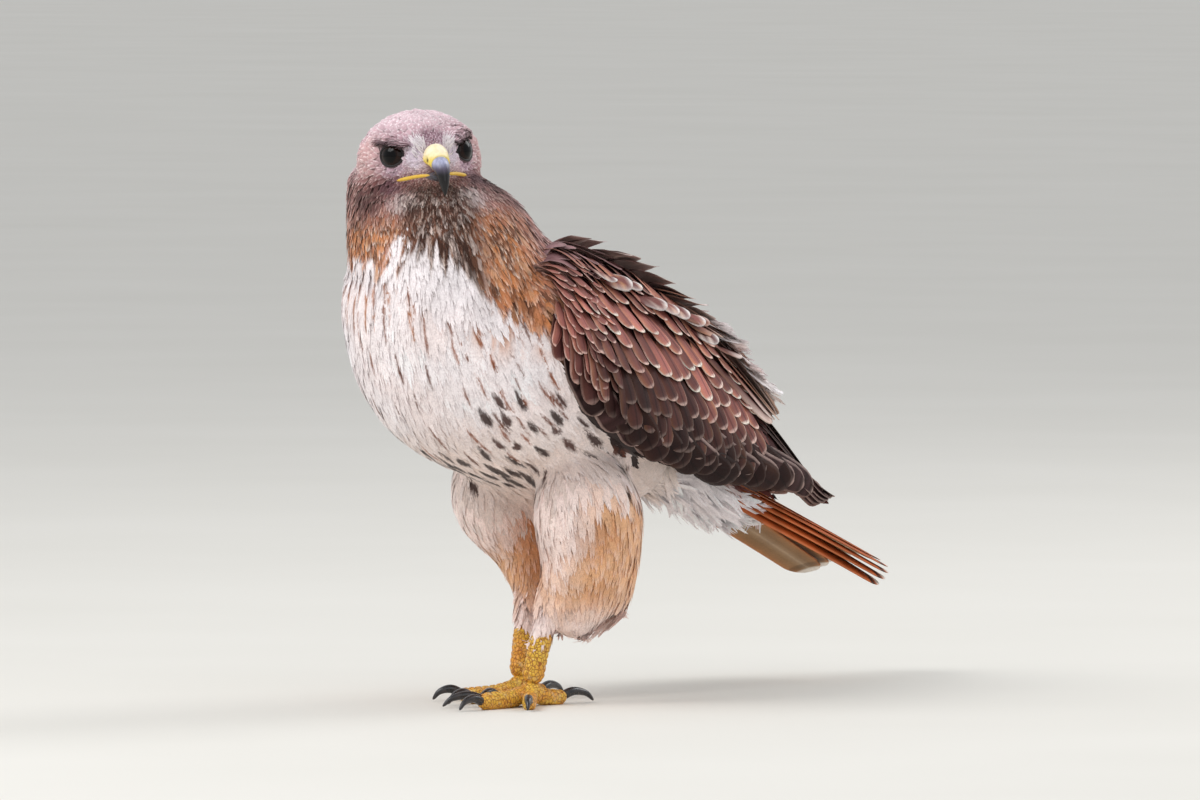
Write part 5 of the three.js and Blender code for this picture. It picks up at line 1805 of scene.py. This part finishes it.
def build_eyes():
    for name, hand in (("left", 1), ("right", -1)):
        rows, columns = 61, 64
        angle, turn = np.meshgrid(np.linspace(0, np.pi, rows), turns(columns), indexing="ij")
        p = eye_shell(hand, angle, turn, EYE_RADIUS + 0.35 * bump(angle, 0, 0.42))
        obj = add_mesh("eyeball_" + name, p, grid_faces(rows, columns, True))
        tint = blend("#030203", "#21100a", ramp(angle.ravel(), PUPIL - 0.03, PUPIL + 0.03))
        set_tint(obj, paint(tint, "#0c0605", ramp(angle.ravel(), IRIS_EDGE - 0.08, IRIS_EDGE + 0.08)))
        weld(obj)
        piece(obj, "eye", "eye", "eye_" + name)
        # the lids: a rounded rim on the eyeball, closer above and below than at the sides
        further, stand, shades = zip(*LID_PROFILE)
        columns = 72
        turn = turns(columns)
        slope = math.tan(OPENING) / np.hypot(np.cos(turn) / OPENING_WIDE, np.sin(turn) / OPENING_HIGH)
        angle = np.arctan(slope) + np.array(further)[:, None]
        radius = np.repeat(EYE_RADIUS + np.array(stand)[:, None], columns, axis=1)
        p = eye_shell(hand, angle, np.broadcast_to(turn, angle.shape), radius)
        lid = add_mesh("lids_" + name, p, grid_faces(len(LID_PROFILE), columns, True))
        set_tint(lid, np.vstack([fill(shade, columns) for shade in shades]))
        piece(lid, "lid", "crown_feathers")


def build_bill():
    p, f = turned(loft(UPPER_BILL, (0, 0, 1), (0.05, 0.2))).mesh(40, 48)
    obj = add_mesh("horn_upper", p, f)
    local = to_head(p)
    # blue-grey, paler on top where a highlight is painted, darker below and black at the hook
    tint = blend("#b9bbd6", "#5d5468", ramp(-local[:, 2], -1.5, 3.5))
    tint = paint(tint, "#0c080b", ramp(-local[:, 2], 2, 7))
    set_tint(obj, paint(tint, "#d9cc8a", 0.7 * ramp(local[:, 1], -48, -44.5)))
    weld(obj)
    piece(obj, "bill", "horn", "bill_upper")

    p, f = turned(loft(LOWER_BILL, (0, 0, 1), (0.05, 0.4))).mesh(32, 32)
    obj = add_mesh("horn_lower", p, f)
    set_tint(obj, blend("#6e6f7a", "#1d1a20", ramp(-to_head(p)[:, 1], 36, 50)))
    weld(obj)
    piece(obj, "bill", "horn", "bill_lower")

    parts = [turned(loft(CERE, (0, 0, 1), (0.05, 0.05))).mesh(40, 24, 0.15)]
    for hand in (1, -1):
        parts.append(turned(loft(mirrored(GAPE, hand), (0, 0, 1), (0.25, 0.25))).mesh(14, 40))
    p, f = joined(parts)
    local = to_head(p)
    # nostrils pressed into the cere, their hollows painted dark as shade
    nostrils = np.zeros(len(p))
    for hand in (1, -1):
        off = (local - (hand * 6.8, -42.5, 1.8)) / (3, 2.1, 1.7)
        press = np.exp(-(off**2).sum(1) * 1.5)
        local[:, 0] -= hand * 1.6 * press
        nostrils = np.maximum(nostrils, press)
    obj = add_mesh("cere_skin", from_head(local), f)
    # yellow, nearly white on top as a painted highlight, and deeper gold lower down at the gape
    tint = blend("#f5da62", "#fdf6de", 0.85 * ramp(local[:, 2], 1, 7))
    tint = paint(tint, "#dfb440", 0.85 * ramp(-local[:, 2], 2, 7))
    # the nostrils' hollows painted dark: painted shade
    set_tint(obj, paint(tint, "#1c1512", nostrils * 2.2 - 0.5))
    weld(obj)
    piece(obj, "cere", "cere_skin", "cere")


def toe_way(leg, angle):
    """The way that a toe points along the ground."""
    turn = math.radians(angle * (leg["spread"] if angle < 0 else 1)) * leg["hand"]
    return np.array([math.sin(turn), -math.cos(turn), 0])


def out_along(leg, way, far):
    """A place on the ground this far out from the foot."""
    return leg["foot"][0] + way[0] * far, leg["foot"][1] + way[1] * far


def scute_mesh(form, around, along, count, height, rough=0.25):
    """A form with scales: steps along its upper face, and pads below."""
    s, a = np.meshgrid(np.linspace(0, 1, along + 1), turns(around), indexing="ij")
    edge = (s * count) % 1.0
    plate = height * ramp(edge, 0.0, 0.25) * ramp(-edge, -1.0, -0.8) * ramp(np.sin(a), 0.1, 0.6)
    pad = rough * np.sin(s * count * 2.1 * np.pi) * ramp(-np.sin(a), 0.2, 0.8)
    return form.at(s, a, plate + pad).reshape(-1, 3), grid_faces(along + 1, around, True)


# A claw's stations: share of its length, height, half width, reach up and down
CLAW = [
    (0, 4.6, 2.6, 2.8, 2.8), (0.35, 7.2, 2.5, 2.6, 2.6), (0.72, 5.6, 1.7, 1.8, 1.8),
    (0.95, 1, 0.7, 0.8, 0.8),
]
# A toe's: share of its length, how far its middle lies above its radius, reaches as shares of the radius
TOE = [(0, 3.5, 1, 1, 1), (0.35, 0.2, 0.9, 0.9, 1), (0.7, -0.9, 0.9, 0.85, 1), (1, -1.2, 0.8, 0.75, 0.8)]
CLAW_INSET = 3
# The ball of the foot, and the height of its middle
BALL_RADIUS, BALL_HEIGHT = 7.2, 7.5


def ball_mesh(centre, radius, rows=17, columns=24):
    turn, spin = np.meshgrid(np.linspace(0, np.pi, rows), turns(columns), indexing="ij")
    ball = np.stack([np.sin(turn) * np.cos(spin), np.sin(turn) * np.sin(spin), np.cos(turn)], axis=2)
    return (ball * radius + centre).reshape(-1, 3), grid_faces(rows, columns, True)


def above(points, height):
    """Points with none lower than this height."""
    return np.maximum(points, (-np.inf, -np.inf, height))


def build_feet():
    for name, leg in LEGS.items():
        p, f = scute_mesh(FORMS["tarsus_" + name], 28, 90, 16, 0.5)
        # the scales end inside the feathers of the leg
        centre = FORMS["tarsus_" + name].centres
        middle = centre[np.clip(np.searchsorted(-centre[:, 2], -p[:, 2]), 0, len(centre) - 1)]
        p = p + (middle - p) * (0.45 * ramp(p[:, 2], BARE_BELOW, BARE_BELOW + 10))[:, None] * (1, 1, 0)
        parts = [(p, f), ball_mesh((*leg["foot"][:2], BALL_HEIGHT), BALL_RADIUS)]
        for toe, angle, length, claw, r, scutes in TOES:
            way = toe_way(leg, angle)
            rows = [
                (*out_along(leg, way, length * s), r + z, *(r * k for k in shares)) for s, z, *shares in TOE
            ]
            parts.append(scute_mesh(loft(rows, (0, 0, 1), (0.2, 0.2)), 24, 60, scutes, 0.7))
            start = length - CLAW_INSET
            rows = [(*out_along(leg, way, start + claw * s), *rest) for s, *rest in CLAW]
            horn, faces = loft(rows, (0, 0, 1), (0.1, 0.1)).mesh(18, 28)
            obj = add_mesh(f"horn_{name}_{toe}", above(horn, 0.1), faces)
            weld(obj)
            piece(obj, "claw", "horn", f"claw_{name}_{toe}")
        p, f = joined(parts)
        obj = add_mesh("scales_" + name, above(p, 0.0), f)
        weld(obj)
        piece(obj, "scales", "scaly_skin", "foot_" + name, "tarsus_" + name)


# The scene

# Lights in metres: name, place, size, power; all point at one place
LIGHTS = [
    ("key", (-0.9, -2.2, 2.6), 1.8, 46), ("fill", (2.6, -1.6, 1.2), 2.2, 9),
    ("rim", (0.8, 2.4, 2.0), 1.6, 28), ("spark", (0.0, -1.2, 1.3), 0.36, 1.8),
]
LIT_POINT = (0, 0, 0.18)
FLOOR_SIZE = 60


def build_stage():
    bpy.ops.mesh.primitive_plane_add(size=FLOOR_SIZE)
    floor = bpy.context.object
    floor.name = "floor"
    floor.data.materials.append(MATERIALS["floor"])
    world = bpy.data.worlds.new("world")
    bpy.context.scene.world = world
    world.use_nodes = True
    sky = world.node_tree.nodes["Background"]
    sky.inputs["Color"].default_value = (0.95, 0.97, 1.0, 1)
    sky.inputs["Strength"].default_value = 0.7
    bpy.context.scene.view_settings.view_transform = "Standard"
    for name, place, size, power in LIGHTS:
        light = bpy.data.lights.new(name, "AREA")
        light.size, light.energy = size, power
        obj = bpy.data.objects.new(name, light)
        obj.location = place
        obj.rotation_euler = (Vector(LIT_POINT) - Vector(place)).to_track_quat("-Z", "Y").to_euler()
        bpy.context.scene.collection.objects.link(obj)


def build_camera():
    a, e = math.radians(AZIMUTH), math.radians(ELEVATION)
    right = np.array([math.cos(a), math.sin(a), 0])
    away = np.array([-math.sin(a), math.cos(a), 0])
    up = math.cos(e) * np.array([0, 0, 1]) + math.sin(e) * away
    back = -math.cos(e) * away + math.sin(e) * np.array([0, 0, 1])
    across = (PICTURE[0] / 2 - GROUND_PIXEL[0]) / PIXELS_PER_MM
    rise = (GROUND_PIXEL[1] - PICTURE[1] / 2) / PIXELS_PER_MM
    target = right * across + up * rise - FRAME_ORIGIN
    distance = LENS / (PIXELS_PER_MM * SENSOR / PICTURE[0])
    camera = bpy.data.cameras.new("camera")
    camera.lens, camera.sensor_width, camera.clip_end = LENS, SENSOR, CLIP_END
    obj = bpy.data.objects.new("camera", camera)
    obj.location = (target + back * distance) * MM
    obj.rotation_euler = Vector(back).to_track_quat("Z", "Y").to_euler()
    bpy.context.scene.collection.objects.link(obj)
    bpy.context.scene.camera = obj


build_camera()
make_materials()
build_stage()
skin = Skin()
skin_piece = add_mesh("skin", skin.p, skin.quads)
# the skin wears the coat's colour, darkened a tenth as painted shade under the feathers
set_tint(skin_piece, flat_colour(skin.p, FORM_KINDS[skin.label])[0] * 0.9)
piece(skin_piece, "skin", "breast_feathers", "torso", "neck", "head", "thigh_left", "thigh_right")
grow_coat(skin)
build_wing("left", 1)
build_wing("right", -1)
build_tail()
build_eyes()
build_bill()
build_feet()
